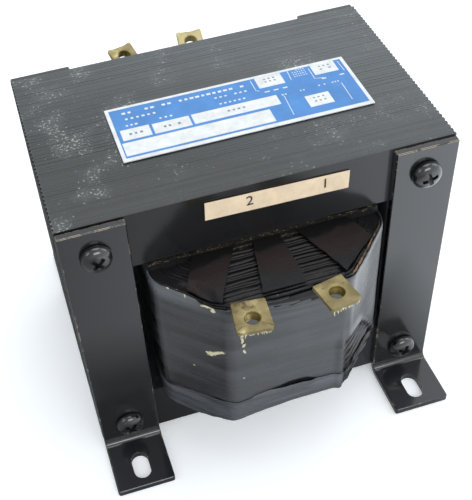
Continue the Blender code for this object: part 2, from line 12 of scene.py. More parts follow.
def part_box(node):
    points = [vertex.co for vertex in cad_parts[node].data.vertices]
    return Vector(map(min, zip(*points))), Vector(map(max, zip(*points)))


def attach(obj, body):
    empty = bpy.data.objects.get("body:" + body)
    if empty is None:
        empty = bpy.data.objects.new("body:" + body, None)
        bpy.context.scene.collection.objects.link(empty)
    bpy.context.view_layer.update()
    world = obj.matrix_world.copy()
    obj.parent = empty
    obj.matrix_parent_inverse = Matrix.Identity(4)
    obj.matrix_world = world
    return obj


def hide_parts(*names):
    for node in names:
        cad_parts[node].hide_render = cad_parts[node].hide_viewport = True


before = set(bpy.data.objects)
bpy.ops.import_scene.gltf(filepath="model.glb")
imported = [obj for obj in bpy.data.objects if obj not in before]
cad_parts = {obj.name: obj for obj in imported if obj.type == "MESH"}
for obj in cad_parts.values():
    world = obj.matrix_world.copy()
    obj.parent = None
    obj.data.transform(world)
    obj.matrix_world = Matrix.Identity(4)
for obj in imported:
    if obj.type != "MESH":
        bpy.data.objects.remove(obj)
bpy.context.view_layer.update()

bl_info = {
    "name": "Control Transformer Looks",
    "version": (1, 0, 0),
    "blender": (4, 5, 0),
    "location": "3D View > Sidebar > Transformer",
    "description": "Finishes an open control transformer around its packed model",
    "category": "Object",
}

MM = 0.001


def linear(colour):
    """Linear red, green, blue and alpha of an sRGB hex colour."""
    channels = [int(colour[i:i + 2], 16) / 255 for i in (1, 3, 5)]
    return [c / 12.92 if c <= 0.04045 else ((c + 0.055) / 1.055) ** 2.4 for c in channels] + [1.0]


def shaded(colour, share):
    """A colour made darker or brighter, up to full brightness."""
    return [min(1.0, c * share) for c in colour[:3]] + [1.0]


def span_of(*nodes):
    """Lowest and highest corner of some CAD nodes together."""
    lows, highs = zip(*(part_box(node) for node in nodes))
    low = Vector([min(corner[i] for corner in lows) for i in range(3)])
    high = Vector([max(corner[i] for corner in highs) for i in range(3)])
    return low, high


E_NODES = [f"e_laminations_{i}" for i in range(1, 7)]
I_NODES = [f"i_laminations_{i}" for i in range(1, 7)]
CORNERS = [f"{side}_{level}" for side in ("left", "right") for level in ("lower", "upper")]
CORE_LOW, CORE_HIGH = span_of(*E_NODES, *I_NODES)
CORE_MIDDLE_Z = (CORE_LOW.z + CORE_HIGH.z) / 2
CORE_HALF_X = CORE_HIGH.x
CORE_HALF_Z = (CORE_HIGH.z - CORE_LOW.z) / 2
STACK_DEPTH = CORE_HIGH.y - CORE_LOW.y
# An outer leg is as wide as a yoke is high and as half the middle leg.
LEG = 22.225 * MM
SCREW_REACH_X = CORE_HALF_X - LEG / 2
SCREW_REACH_Z = CORE_HALF_Z - LEG / 2
BOLT_HOLE = 6.2 * MM
JOINT_GAP = 0.12 * MM
# Outer faces of the coil's tube, its corners, and how its outline grows with the build of the
# layers, which is measured at the side.
TUBE_HALF_X = 24.225 * MM
TUBE_HALF_Y = 43.875 * MM
CORNER_CUT = 1.2 * MM
CORNER_RADIUS = 1.4 * MM
FRONT_BULGE = 1.48
FRONT_FLAT_LOSS = 0.12
FRONT_RADIUS_GROWTH = 0.3
SHOULDER_GROWTH = 0.37
SHOULDER_RADIUS_GROWTH = 0.5
FILM_BUILD = 16.6 * MM
COIL_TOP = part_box("outer_film")[1].z
COIL_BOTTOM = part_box("outer_wrap")[0].z
# Lower face of the tongues of the lugs, and how far the rims of the coil stay below it; the
# thickness of a lug.
LUG_SEAT = 88.2 * MM
LUG_CLEARANCE = 0.35 * MM
LUG_THICKNESS = 1.6 * MM
# Underside of the screw heads, 0.3 mm before the front brackets.
HEAD_SEAT = -45.125 * MM
SCREW_SIDES = 40
LUG_SIDES = 96
SQUARE = ((-1, -1), (1, -1), (1, 1), (-1, 1))
# Angles up to which a mesh is shaded smooth.
CRISP = math.radians(38.0)
CLOTH = math.radians(50.0)
SOFT = math.radians(60.0)


class StageSettings(PropertyGroup):
    """Camera, floor and light."""
    camera_place: FloatVectorProperty(
        name="Camera Place", description="Where the camera stands", subtype="TRANSLATION",
        unit="LENGTH", default=(-0.070881, -0.251345, 0.305602))
    camera_turn: FloatVectorProperty(
        name="Camera Turn", description="Rotation of the camera about X, Y and Z",
        subtype="EULER", unit="ROTATION",
        default=(math.radians(43.4573), math.radians(3.5024), math.radians(-16.89)))
    lens: FloatProperty(
        name="Lens", description="Focal length in millimetres on a 36 mm sensor", default=67.13,
        min=10.0)
    shift: FloatVectorProperty(
        name="Shift", description="Camera shift that frames the object as in the photograph",
        size=2, default=(0.06773, 0.04784))
    overhead_power: FloatProperty(
        name="Overhead Power", description="Power of the soft box above the object",
        unit="POWER", default=3.2, min=0.0)
    front_power: FloatProperty(
        name="Front Power", description="Power of the soft box above the camera", unit="POWER",
        default=3.0, min=0.0)
    side_power: FloatProperty(
        name="Side Power", description="Power of each of the two side lamps", unit="POWER",
        default=1.0, min=0.0)
    room_level: FloatProperty(
        name="Room Level", description="Strength of the plain light from the room", default=0.8,
        min=0.0, max=1.0, subtype="FACTOR")
    floor_glow: FloatProperty(
        name="Floor Glow", description="Share of the floor's brightness that no shadow takes",
        default=0.31, min=0.0, max=1.0, subtype="FACTOR")
    floor_lit: FloatProperty(
        name="Floor Lit", description="Share of the lamps' light that the camera sees on the floor",
        default=1.0, min=0.0, max=1.0, subtype="FACTOR")
    floor_colour: FloatVectorProperty(
        name="Floor Colour", description="Colour of the pale floor", subtype="COLOR", size=4,
        min=0.0, max=1.0, default=linear("#f6f9fb"))


class CoreSettings(PropertyGroup):
    """Interleaved stack of sheet steel."""
    sheets: IntProperty(name="Sheets", description="Number of sheets in the stack", default=166,
                        min=2)
    sheet_thickness: FloatProperty(
        name="Sheet Thickness", description="Thickness of one varnished sheet", unit="LENGTH",
        default=0.485 * MM)
    group: IntProperty(
        name="Group", description="Sheets laid the same way before the next are turned over",
        default=2, min=1)
    scatter: FloatProperty(
        name="Scatter", description="How far a sheet may sit out of line", unit="LENGTH",
        default=0.04 * MM)
    tooth: FloatProperty(
        name="Tooth", description="How much shorter a bar is than the E sheet beside it",
        unit="LENGTH", default=0.34 * MM)
    edge_colour: FloatVectorProperty(
        name="Edge Colour", description="Varnished sheet edges", subtype="COLOR", size=4,
        min=0.0, max=1.0, default=linear("#33383a"))


class BracketSettings(PropertyGroup):
    """Mounting brackets."""
    edge_radius: FloatProperty(
        name="Edge Radius", description="Rounding of the sheared edges", unit="LENGTH",
        default=0.32 * MM)
    enamel: FloatVectorProperty(
        name="Enamel", description="Colour of the black enamel", subtype="COLOR", size=4,
        min=0.0, max=1.0, default=linear("#161719"))
    bare_metal: FloatVectorProperty(
        name="Bare Metal", description="Colour where the enamel is rubbed off", subtype="COLOR",
        size=4, min=0.0, max=1.0, default=linear("#93836a"))


class FastenerSettings(PropertyGroup):
    """Screws, lock washers and nuts of the four corners."""
    thread_pitch: FloatProperty(
        name="Thread Pitch", description="Advance of the screw thread in one turn",
        unit="LENGTH", default=0.8 * MM)
    thread_depth: FloatProperty(
        name="Thread Depth", description="Depth of the screw thread", unit="LENGTH",
        default=0.35 * MM)
    recess_arm: FloatProperty(
        name="Recess Arm", description="Length of one arm of the cross recess", unit="LENGTH",
        default=3.0 * MM)
    seed: IntProperty(name="Seed", description="Seed of the turn of each fastener", default=11)


class CoilSettings(PropertyGroup):
    """Winding, its papers, tapes and outer film."""
    step: FloatProperty(
        name="Step", description="Distance between points along the outline of the coil",
        unit="LENGTH", default=0.9 * MM)
    ridge_wave: FloatProperty(
        name="Ridge Wave", description="Height of the waves on the ends of the layers",
        unit="LENGTH", default=0.3 * MM)
    film_wave: FloatProperty(
        name="Film Wave", description="Height of the ripples in the outer film", unit="LENGTH",
        default=0.28 * MM)
    varnish: FloatVectorProperty(
        name="Varnish", description="Colour of the varnished winding ends", subtype="COLOR",
        size=4, min=0.0, max=1.0, default=linear("#141315"))
    film: FloatVectorProperty(
        name="Film", description="Colour of the black outer film", subtype="COLOR", size=4,
        min=0.0, max=1.0, default=linear("#1d1e21"))
    tape: FloatVectorProperty(
        name="Tape", description="Colour of the tape across the coil's end", subtype="COLOR",
        size=4, min=0.0, max=1.0, default=linear("#241d1c"))


class TerminalSettings(PropertyGroup):
    """Brass lugs."""
    hole_diameter: FloatProperty(
        name="Hole Diameter", description="Diameter of the tapped hole", unit="LENGTH",
        default=4.7 * MM)
    rim_width: FloatProperty(
        name="Rim Width", description="Width of the soft bevel round the hole", unit="LENGTH",
        default=0.75 * MM)
    brass: FloatVectorProperty(
        name="Brass", description="Colour of the tarnished brass", subtype="COLOR", size=4,
        min=0.0, max=1.0, default=linear("#9d9066"))


class PlateSettings(PropertyGroup):
    """Printed plate on the core and paper label on its front."""
    blue: FloatVectorProperty(
        name="Blue", description="Printed ground of the plate", subtype="COLOR", size=4,
        min=0.0, max=1.0, default=linear("#5291d6"))
    white: FloatVectorProperty(
        name="White", description="Bare border and boxes of the plate", subtype="COLOR", size=4,
        min=0.0, max=1.0, default=linear("#eef2f3"))
    paper: FloatVectorProperty(
        name="Paper", description="Colour of the paper label", subtype="COLOR", size=4, min=0.0,
        max=1.0, default=linear("#ffe7c6"))
    ink_height: FloatProperty(
        name="Ink Height", description="Thickness of the print", unit="LENGTH",
        default=0.03 * MM)


def add_node(tree, kind, inputs=None, **settings):
    """Add a node with its settings; an input takes a value, a socket or a node's first output."""
    node = tree.nodes.new(kind)
    for name, value in settings.items():
        setattr(node, name, value)
    for key, value in (inputs or {}).items():
        if isinstance(key, int):
            socket = node.inputs[key]
        else:
            socket = next(s for s in node.inputs if s.name == key and s.enabled)
        if isinstance(value, bpy.types.Node):
            value = next(s for s in value.outputs if s.enabled)
        if isinstance(value, bpy.types.NodeSocket):
            tree.links.new(value, socket)
        else:
            socket.default_value = value
    return node


def blank_material(name):
    """Empty node material and its object coordinates."""
    material = bpy.data.materials.new(name)
    material.use_nodes = True
    tree = material.node_tree
    tree.nodes.clear()
    return material, tree, add_node(tree, "ShaderNodeTexCoord").outputs["Object"]


def finish_surface(tree, relief, strength, depth, **inputs):
    """Close a material with its relief, whose depth is in millimetres, and its shader."""
    bump = add_node(
        tree, "ShaderNodeBump", {"Height": relief, "Strength": strength, "Distance": depth * MM})
    named = {key.replace("_", " "): value for key, value in inputs.items()}
    shader = add_node(tree, "ShaderNodeBsdfPrincipled", {"Normal": bump, **named})
    add_node(tree, "ShaderNodeOutputMaterial", {"Surface": shader})


def sheet_edge_material(colour):
    """Sheared edges of silicon steel under thin varnish: grey, lined along the sheets, scuffed."""
    material, tree, place = blank_material("varnished_silicon_steel_edge")
    tone = add_node(tree, "ShaderNodeAttribute", attribute_name="sheet_tone").outputs["Fac"]
    # Streaks 30 mm long and two sheets wide.
    along = add_node(tree, "ShaderNodeMapping", {"Vector": place, "Scale": (33.0, 1100.0, 300.0)})
    streaks = add_node(
        tree, "ShaderNodeTexNoise",
        {"Vector": along, "Scale": 1.0, "Detail": 5.0, "Roughness": 0.7})
    patches = add_node(
        tree, "ShaderNodeTexNoise",
        {"Vector": place, "Scale": 42.0, "Detail": 6.0, "Roughness": 0.62})
    both = add_node(
        tree, "ShaderNodeMath", {0: streaks, 1: 0.75, 2: patches}, operation="MULTIPLY_ADD")
    all_three = add_node(
        tree, "ShaderNodeMath", {0: tone, 1: 0.2, 2: both}, operation="MULTIPLY_ADD")
    level = add_node(
        tree, "ShaderNodeMapRange", {"Value": all_three, "From Min": 0.52, "From Max": 1.45})
    # Painted sheen with dust towards the back and right of the core's top; dust on its left side.
    parts = add_node(tree, "ShaderNodeSeparateXYZ", {"Vector": place})
    across = add_node(
        tree, "ShaderNodeMath", {0: parts.outputs["X"], 1: 0.6, 2: parts.outputs["Y"]},
        operation="MULTIPLY_ADD")
    dust_and_sheen = add_node(
        tree, "ShaderNodeMapRange", {"Value": across, "From Min": -0.035, "From Max": 0.05})
    side = add_node(
        tree, "ShaderNodeMapRange",
        {"Value": parts.outputs["X"], "From Min": -0.0658, "From Max": -0.0664, "To Max": 0.4})
    dust_and_sheen = add_node(tree, "ShaderNodeMath", {0: dust_and_sheen, 1: side}, operation="ADD")
    # The paler copy of the sheet colour is the painted sheen.
    clean = add_node(
        tree, "ShaderNodeMix",
        {"Factor": level, "A": shaded(colour, 0.3), "B": shaded(colour, 0.65)}, data_type="RGBA")
    dusty_sheen = add_node(
        tree, "ShaderNodeMix",
        {"Factor": level, "A": shaded(colour, 1.05), "B": shaded(colour, 3.0)}, data_type="RGBA")
    steel = add_node(
        tree, "ShaderNodeMix", {"Factor": dust_and_sheen, "A": clean, "B": dusty_sheen}, data_type="RGBA")
    # Chipped varnish: grains under a millimetre in loose clusters, thickest at the left.
    near = add_node(
        tree, "ShaderNodeMapRange",
        {"Value": parts.outputs["X"], "From Min": -0.02, "From Max": -0.06, "To Max": 0.05})
    crowd = add_node(tree, "ShaderNodeTexNoise", {"Vector": place, "Scale": 75.0, "Detail": 3.0})
    grains = add_node(
        tree, "ShaderNodeTexNoise",
        {"Vector": place, "Scale": 1050.0, "Detail": 4.0, "Roughness": 0.65})
    thick = add_node(tree, "ShaderNodeMath", {0: crowd, 1: 0.5, 2: near}, operation="MULTIPLY_ADD")
    rubbed = add_node(
        tree, "ShaderNodeMapRange",
        {"Value": thick, "From Min": 0.28, "From Max": 0.37, "To Max": 0.2})
    steel = add_node(
        tree, "ShaderNodeMix", {"Factor": rubbed, "A": steel, "B": linear("#717a78")},
        data_type="RGBA")
    chance = add_node(tree, "ShaderNodeMath", {0: grains, 1: thick}, operation="ADD")
    chips = add_node(
        tree, "ShaderNodeMapRange",
        {"Value": chance, "From Min": 0.92, "From Max": 1.0, "To Max": 0.8})
    colour_out = add_node(
        tree, "ShaderNodeMix", {"Factor": chips, "A": steel, "B": linear("#b8bfbc")},
        data_type="RGBA")
    rough = add_node(
        tree, "ShaderNodeMapRange",
        {"Value": patches, "From Min": 0.3, "From Max": 0.7, "To Min": 0.34, "To Max": 0.52})
    relief = add_node(tree, "ShaderNodeMath", {0: grains, 1: streaks}, operation="ADD")
    finish_surface(tree, relief, 0.55, 0.12, Base_Color=colour_out, Roughness=rough, IOR=1.6,
                   Coat_Weight=0.75, Coat_Roughness=0.3)
    return material


def sheet_face_material():
    """Flat of the outermost sheets: smooth black varnish that mirrors what stands before it."""
    material, tree, place = blank_material("black_varnished_steel_sheet")
    mist = add_node(
        tree, "ShaderNodeTexNoise",
        {"Vector": place, "Scale": 38.0, "Detail": 5.0, "Roughness": 0.6})
    clean = add_node(
        tree, "ShaderNodeMix", {"Factor": mist, "A": linear("#18181a"), "B": linear("#2a2a2a")},
        data_type="RGBA")
    # Paler to the right of the face: wiped dust with a painted sheen of the light from the right.
    parts = add_node(tree, "ShaderNodeSeparateXYZ", {"Vector": place})
    dust_and_sheen = add_node(
        tree, "ShaderNodeMapRange",
        {"Value": parts.outputs["X"], "From Min": 0.005, "From Max": 0.045, "To Max": 0.75})
    tint = add_node(
        tree, "ShaderNodeMix", {"Factor": dust_and_sheen, "A": clean, "B": linear("#3c3c40")},
        data_type="RGBA")
    rough = add_node(
        tree, "ShaderNodeMapRange",
        {"Value": mist, "From Min": 0.3, "From Max": 0.75, "To Min": 0.14, "To Max": 0.26})
    ripple = add_node(tree, "ShaderNodeTexNoise", {"Vector": place, "Scale": 160.0})
    finish_surface(tree, ripple, 0.12, 0.25, Base_Color=tint, Roughness=rough, IOR=1.5)
    return material


def enamel_material(name, colour, bare, wear, gloss=0.07):
    """Dipped black enamel on steel: wet gloss, dust nibs, rubbed through to brown metal."""
    material, tree, place = blank_material(name)
    haze = add_node(
        tree, "ShaderNodeTexNoise",
        {"Vector": place, "Scale": 55.0, "Detail": 6.0, "Roughness": 0.65})
    tint = add_node(
        tree, "ShaderNodeMix",
        {"Factor": haze, "A": shaded(colour, 0.55), "B": shaded(colour, 1.5)}, data_type="RGBA")
    rub = add_node(
        tree, "ShaderNodeTexNoise",
        {"Vector": place, "Scale": 240.0, "Detail": 5.0, "Roughness": 0.7})
    # Painted sheen and dust on the feet; the brackets' upper edges, 112.5 mm up, are scraped most.
    up = add_node(tree, "ShaderNodeSeparateXYZ", {"Vector": place}).outputs["Z"]
    dust_and_sheen = add_node(
        tree, "ShaderNodeMapRange",
        {"Value": up, "From Min": 0.004, "From Max": 0.003, "To Max": 0.5})
    tint = add_node(
        tree, "ShaderNodeMix", {"Factor": dust_and_sheen, "A": tint, "B": linear("#303236")},
        data_type="RGBA")
    height = add_node(
        tree, "ShaderNodeMapRange",
        {"Value": up, "From Min": 0.1122, "From Max": 0.1125, "To Max": 0.45 * wear})
    scraped = add_node(tree, "ShaderNodeMath", {0: rub, 1: height}, operation="ADD")
    worn = add_node(
        tree, "ShaderNodeMapRange",
        {"Value": scraped, "From Min": 0.72 - wear, "From Max": 0.78 - wear})
    skin = add_node(tree, "ShaderNodeMix", {"Factor": worn, "A": tint, "B": bare}, data_type="RGBA")
    shine = add_node(
        tree, "ShaderNodeMapRange",
        {"Value": haze, "From Min": 0.3, "From Max": 0.75, "To Min": gloss, "To Max": gloss + 0.1})
    rough = add_node(tree, "ShaderNodeMix", {"Factor": worn, "A": shine, "B": 0.5})
    peel = add_node(tree, "ShaderNodeTexNoise", {"Vector": place, "Scale": 420.0, "Detail": 3.0})
    nibs = add_node(tree, "ShaderNodeTexVoronoi", {"Vector": place, "Scale": 210.0})
    nib = add_node(
        tree, "ShaderNodeMapRange",
        {"Value": nibs, "From Min": 0.09, "From Max": 0.02, "To Max": 2.2})
    relief = add_node(tree, "ShaderNodeMath", {0: peel, 1: nib}, operation="ADD")
    finish_surface(tree, relief, 0.2, 0.08, Base_Color=skin, Roughness=rough, IOR=1.6,
                   Coat_Weight=0.9, Coat_Roughness=0.15)
    return material


def winding_material(name, colour, fibre, show, scale, gloss=0.34):
    """Ends of wire and paper under baked varnish: black and lumpy, fibres where it broke."""
    material, tree, place = blank_material(name)
    lumps = add_node(
        tree, "ShaderNodeTexNoise",
        {"Vector": place, "Scale": scale, "Detail": 6.0, "Roughness": 0.65})
    torn = add_node(
        tree, "ShaderNodeMapRange",
        {"Value": lumps, "From Min": 0.8 - show, "From Max": 0.9 - show})
    tint = add_node(
        tree, "ShaderNodeMix", {"Factor": torn, "A": colour, "B": fibre}, data_type="RGBA")
    rough = add_node(tree, "ShaderNodeMix", {"Factor": torn, "A": gloss, "B": 0.65})
    finish_surface(tree, lumps, 0.5, 0.3, Base_Color=tint, Roughness=rough, IOR=1.5,
                   Specular_IOR_Level=0.35)
    return material


# Middle across and up, half length, half height, all in millimetres, and lean in radians of each
# chip in the film's varnish.
FILM_CHIPS = (
    (-26.0, 64.0, 1.5, 0.9, -0.75), (-24.2, 65.6, 2.0, 0.5, -0.75), (-16.6, 72.6, 0.4, 1.3, 0.1),
    (-16.3, 69.6, 0.5, 0.8, 0.3), (-16.1, 66.6, 0.35, 1.0, -0.3), (-31.1, 54.0, 0.25, 0.25, 0.0),
    (-16.6, 52.6, 0.3, 0.25, 0.0), (-26.4, 86.9, 1.5, 0.25, -0.1), (-24.7, 86.4, 0.5, 0.8, 0.2),
    (-31.6, 88.6, 0.2, 0.7, 0.1), (-35.9, 89.0, 0.3, 0.2, 0.0), (39.4, 86.8, 0.3, 0.6, 0.0),
)


def film_material(name, colour):
    """Black varnished cloth film: dark gloss with faint upright threads and cream chips."""
    material, tree, place = blank_material(name)
    # Wipe marks along the cloth, some 60 mm long and 5 mm high.
    wiping = add_node(
        tree, "ShaderNodeMapping",
        {"Vector": place, "Scale": (16.0, 16.0, 190.0), "Rotation": (0.0, 0.04, 0.0)})
    haze = add_node(
        tree, "ShaderNodeTexNoise",
        {"Vector": wiping, "Scale": 1.0, "Detail": 5.0, "Roughness": 0.6})
    wiped = add_node(
        tree, "ShaderNodeMapRange", {"Value": haze, "From Min": 0.36, "From Max": 0.64})
    tint = add_node(
        tree, "ShaderNodeMix",
        {"Factor": wiped, "A": shaded(colour, 0.3), "B": shaded(colour, 2.6)}, data_type="RGBA")
    # Dust and a painted highlight on the upper 5 mm, on the left of the front.
    front = add_node(tree, "ShaderNodeSeparateXYZ", {"Vector": place})
    high = add_node(
        tree, "ShaderNodeMapRange",
        {"Value": front.outputs["Z"], "From Min": 0.0825, "From Max": 0.0865})
    left = add_node(
        tree, "ShaderNodeMapRange",
        {"Value": front.outputs["X"], "From Min": -0.02, "From Max": -0.03, "To Max": 1.3})
    dusty_sheen = add_node(tree, "ShaderNodeMath", {0: high, 1: left}, operation="MULTIPLY")
    dust_and_sheen = add_node(tree, "ShaderNodeMath", {0: dusty_sheen, 1: haze}, operation="MULTIPLY")
    tint = add_node(
        tree, "ShaderNodeMix", {"Factor": dust_and_sheen, "A": tint, "B": linear("#6c7176")},
        data_type="RGBA")
    # Cream chips with ragged outlines, on the front only.
    ragged = add_node(
        tree, "ShaderNodeTexNoise",
        {"Vector": place, "Scale": 1100.0, "Detail": 4.0, "Roughness": 0.65})
    flat = add_node(tree, "ShaderNodeMapping", {"Vector": place, "Scale": (1.0, 0.0, 1.0)})
    chips = None
    for across, up, half_length, half_height, lean in FILM_CHIPS:
        local = add_node(
            tree, "ShaderNodeMapping",
            {"Vector": flat, "Location": (across * MM, 0.0, up * MM), "Rotation": (0.0, lean, 0.0),
             "Scale": (half_length * MM, 1.0, half_height * MM)}, vector_type="TEXTURE")
        reach = add_node(tree, "ShaderNodeVectorMath", {0: local}, operation="LENGTH")
        if chips is None:
            chips = reach.outputs["Value"]
        else:
            chips = add_node(
                tree, "ShaderNodeMath", {0: chips, 1: reach.outputs["Value"]},
                operation="MINIMUM").outputs[0]
    edge = add_node(tree, "ShaderNodeMath", {0: ragged, 1: 3.2, 2: chips}, operation="MULTIPLY_ADD")
    chipped = add_node(
        tree, "ShaderNodeMapRange", {"Value": edge, "From Min": 2.75, "From Max": 2.5})
    facing = add_node(
        tree, "ShaderNodeMath", {0: front.outputs["Y"], 1: 0.0}, operation="LESS_THAN")
    shown = add_node(tree, "ShaderNodeMath", {0: chipped, 1: facing}, operation="MULTIPLY")
    skin = add_node(
        tree, "ShaderNodeMix", {"Factor": shown, "A": tint, "B": linear("#cfc9a4")},
        data_type="RGBA")
    shine = add_node(tree, "ShaderNodeMapRange", {"Value": wiped, "To Min": 0.17, "To Max": 0.36})
    rough = add_node(tree, "ShaderNodeMix", {"Factor": shown, "A": shine, "B": 0.75})
    # Threads 0.8 mm apart, run upright through the cloth.
    upright = add_node(tree, "ShaderNodeMapping", {"Vector": place, "Scale": (1250.0, 1250.0, 9.0)})
    threads = add_node(tree, "ShaderNodeTexNoise", {"Vector": upright, "Scale": 1.0, "Detail": 1.0})
    lying = add_node(tree, "ShaderNodeMapping", {"Vector": place, "Scale": (40.0, 40.0, 420.0)})
    creases = add_node(tree, "ShaderNodeTexNoise", {"Vector": lying, "Scale": 1.0, "Detail": 3.0})
    relief = add_node(
        tree, "ShaderNodeMath", {0: creases, 1: 3.2, 2: threads}, operation="MULTIPLY_ADD")
    finish_surface(tree, relief, 0.1, 0.12, Base_Color=skin, Roughness=rough, IOR=1.58,
                   Coat_Weight=0.8, Coat_Roughness=0.2)
    return material


def tape_material(colour):
    """Varnished cloth tape: brown across the middle where the varnish is thin, black elsewhere."""
    material, tree, place = blank_material("varnished_cloth_tape")
    pools = add_node(tree, "ShaderNodeTexNoise", {"Vector": place, "Scale": 70.0, "Detail": 3.0})
    parts = add_node(tree, "ShaderNodeSeparateXYZ", {"Vector": place})
    outward = add_node(tree, "ShaderNodeMath", {0: parts.outputs["Y"]}, operation="ABSOLUTE")
    ragged = add_node(
        tree, "ShaderNodeMath", {0: pools, 1: 0.012, 2: outward}, operation="MULTIPLY_ADD")
    # Brown from about 7 to 17 mm off the core, with ragged ends.
    from_core = add_node(
        tree, "ShaderNodeMapRange", {"Value": ragged, "From Min": 0.0535, "From Max": 0.0555})
    to_rim = add_node(
        tree, "ShaderNodeMapRange", {"Value": ragged, "From Min": 0.0665, "From Max": 0.063})
    thin = add_node(tree, "ShaderNodeMath", {0: from_core, 1: to_rim}, operation="MULTIPLY")
    ends = add_node(
        tree, "ShaderNodeMix",
        {"Factor": from_core, "A": linear("#090909"), "B": linear("#1c1d1f")}, data_type="RGBA")
    tint = add_node(
        tree, "ShaderNodeMix", {"Factor": thin, "A": ends, "B": colour}, data_type="RGBA")
    weave = add_node(tree, "ShaderNodeTexVoronoi", {"Vector": place, "Scale": 1500.0})
    relief = add_node(
        tree, "ShaderNodeMath", {0: pools, 1: 3.0, 2: weave}, operation="MULTIPLY_ADD")
    finish_surface(tree, relief, 0.4, 0.22, Base_Color=tint, Roughness=0.5, IOR=1.5,
                   Specular_IOR_Level=0.2)
    return material


def brass_material(name, colour):
    """Tarnished rolled brass: mottled dull gold, brown at the root, rubbed bright at the tip."""
    material, tree, place = blank_material(name)
    stains = add_node(
        tree, "ShaderNodeTexNoise",
        {"Vector": place, "Scale": 430.0, "Detail": 6.0, "Roughness": 0.72})
    patches = add_node(tree, "ShaderNodeTexNoise", {"Vector": place, "Scale": 150.0, "Detail": 3.0})
    mottle = add_node(
        tree, "ShaderNodeMapRange", {"Value": patches, "From Min": 0.38, "From Max": 0.62})
    gold = add_node(
        tree, "ShaderNodeMix",
        {"Factor": mottle, "A": shaded(colour, 0.72), "B": shaded(colour, 1.25)}, data_type="RGBA")
    # Brown dirt towards the roots, more of it on the left as painted shade.
    parts = add_node(tree, "ShaderNodeSeparateXYZ", {"Vector": place})
    outward = add_node(tree, "ShaderNodeMath", {0: parts.outputs["Y"]}, operation="ABSOLUTE")
    root = add_node(
        tree, "ShaderNodeMapRange",
        {"Value": outward, "From Min": 0.0725, "From Max": 0.068, "To Max": 0.16})
    left_shade_share = add_node(
        tree, "ShaderNodeMapRange",
        {"Value": parts.outputs["X"], "From Min": 0.004, "From Max": -0.004, "To Min": 0.25})
    near = add_node(tree, "ShaderNodeMath", {0: root, 1: left_shade_share}, operation="MULTIPLY")
    dirt = add_node(tree, "ShaderNodeMath", {0: stains, 1: near}, operation="ADD")
    brown = add_node(
        tree, "ShaderNodeMapRange",
        {"Value": dirt, "From Min": 0.58, "From Max": 0.72, "To Max": 0.8})
    stains_and_painted_light = add_node(
        tree, "ShaderNodeMix", {"Factor": brown, "A": gold, "B": linear("#54402a")},
        data_type="RGBA")
    # Painted shade on the lugs on the left, and a painted highlight on the right one at the rear.
    painted_left_shade = add_node(
        tree, "ShaderNodeMapRange",
        {"Value": parts.outputs["X"], "From Min": 0.006, "From Max": -0.008, "To Max": 0.2})
    stains_and_painted_light = add_node(
        tree, "ShaderNodeMix", {"Factor": painted_left_shade, "A": stains_and_painted_light, "B": linear("#6a5b3a")},
        data_type="RGBA")
    corner = add_node(
        tree, "ShaderNodeMath", {0: parts.outputs["X"], 1: parts.outputs["Y"]}, operation="ADD")
    painted_highlight = add_node(
        tree, "ShaderNodeMapRange",
        {"Value": corner, "From Min": 0.06, "From Max": 0.075, "To Max": 0.6})
    stains_and_painted_light = add_node(
        tree, "ShaderNodeMix", {"Factor": painted_highlight, "A": stains_and_painted_light, "B": linear("#d3c695")},
        data_type="RGBA")
    # The outer ends are rubbed bright.
    tip = add_node(
        tree, "ShaderNodeMapRange",
        {"Value": outward, "From Min": 0.0765, "From Max": 0.0795, "To Max": 0.14})
    rubbed = add_node(tree, "ShaderNodeMath", {0: patches, 1: tip}, operation="ADD")
    bright = add_node(
        tree, "ShaderNodeMapRange",
        {"Value": rubbed, "From Min": 0.6, "From Max": 0.68, "To Max": 0.7})
    tint = add_node(
        tree, "ShaderNodeMix", {"Factor": bright, "A": stains_and_painted_light, "B": linear("#d8cf9c")},
        data_type="RGBA")
    rough = add_node(
        tree, "ShaderNodeMapRange",
        {"Value": stains, "From Min": 0.3, "From Max": 0.7, "To Min": 0.36, "To Max": 0.62})
    finish_surface(tree, stains, 0.4, 0.08, Base_Color=tint, Roughness=rough, Metallic=0.6)
    return material


def printed_material(name, colour, rough, grain):
    """Print or bare metal of the plate and paper of the label, faintly soiled."""
    material, tree, place = blank_material(name)
    soil = add_node(
        tree, "ShaderNodeTexNoise",
        {"Vector": place, "Scale": grain, "Detail": 6.0, "Roughness": 0.65})
    grime = add_node(tree, "ShaderNodeMapRange", {"Value": soil, "From Min": 0.35, "From Max": 0.8})
    tint = add_node(
        tree, "ShaderNodeMix", {"Factor": grime, "A": colour, "B": shaded(colour, 0.72)},
        data_type="RGBA")
    shine = add_node(
        tree, "ShaderNodeMapRange",
        {"Value": soil, "From Min": 0.3, "From Max": 0.7, "To Min": rough,
         "To Max": min(1.0, rough + 0.15)})
    finish_surface(tree, soil, 0.1, 0.05, Base_Color=tint, Roughness=shine, IOR=1.5)
    return material


def smooth(mesh, angle=CRISP):
    """Shade a mesh smooth up to an angle."""
    mesh.polygons.foreach_set("use_smooth", [True] * len(mesh.polygons))
    mesh.set_sharp_from_angle(angle=angle)


def link_object(name, data):
    """Object at the origin that holds a mesh, text, lamp or camera."""
    holder = bpy.data.objects.new(name, data)
    bpy.context.scene.collection.objects.link(holder)
    return holder


def piece_from(name, bm):
    """Object from a bmesh, with its faces outward."""
    bmesh.ops.recalc_face_normals(bm, faces=bm.faces)
    mesh = bpy.data.meshes.new(name)
    bm.to_mesh(mesh)
    bm.free()
    return link_object(name, mesh)


def settle(piece):
    """Turn an object's modifiers into one plain mesh."""
    graph = bpy.context.evaluated_depsgraph_get()
    mesh = bpy.data.meshes.new_from_object(piece.evaluated_get(graph),
                                           preserve_all_data_layers=True, depsgraph=graph)
    piece.modifiers.clear()
    piece.data = mesh
    return piece


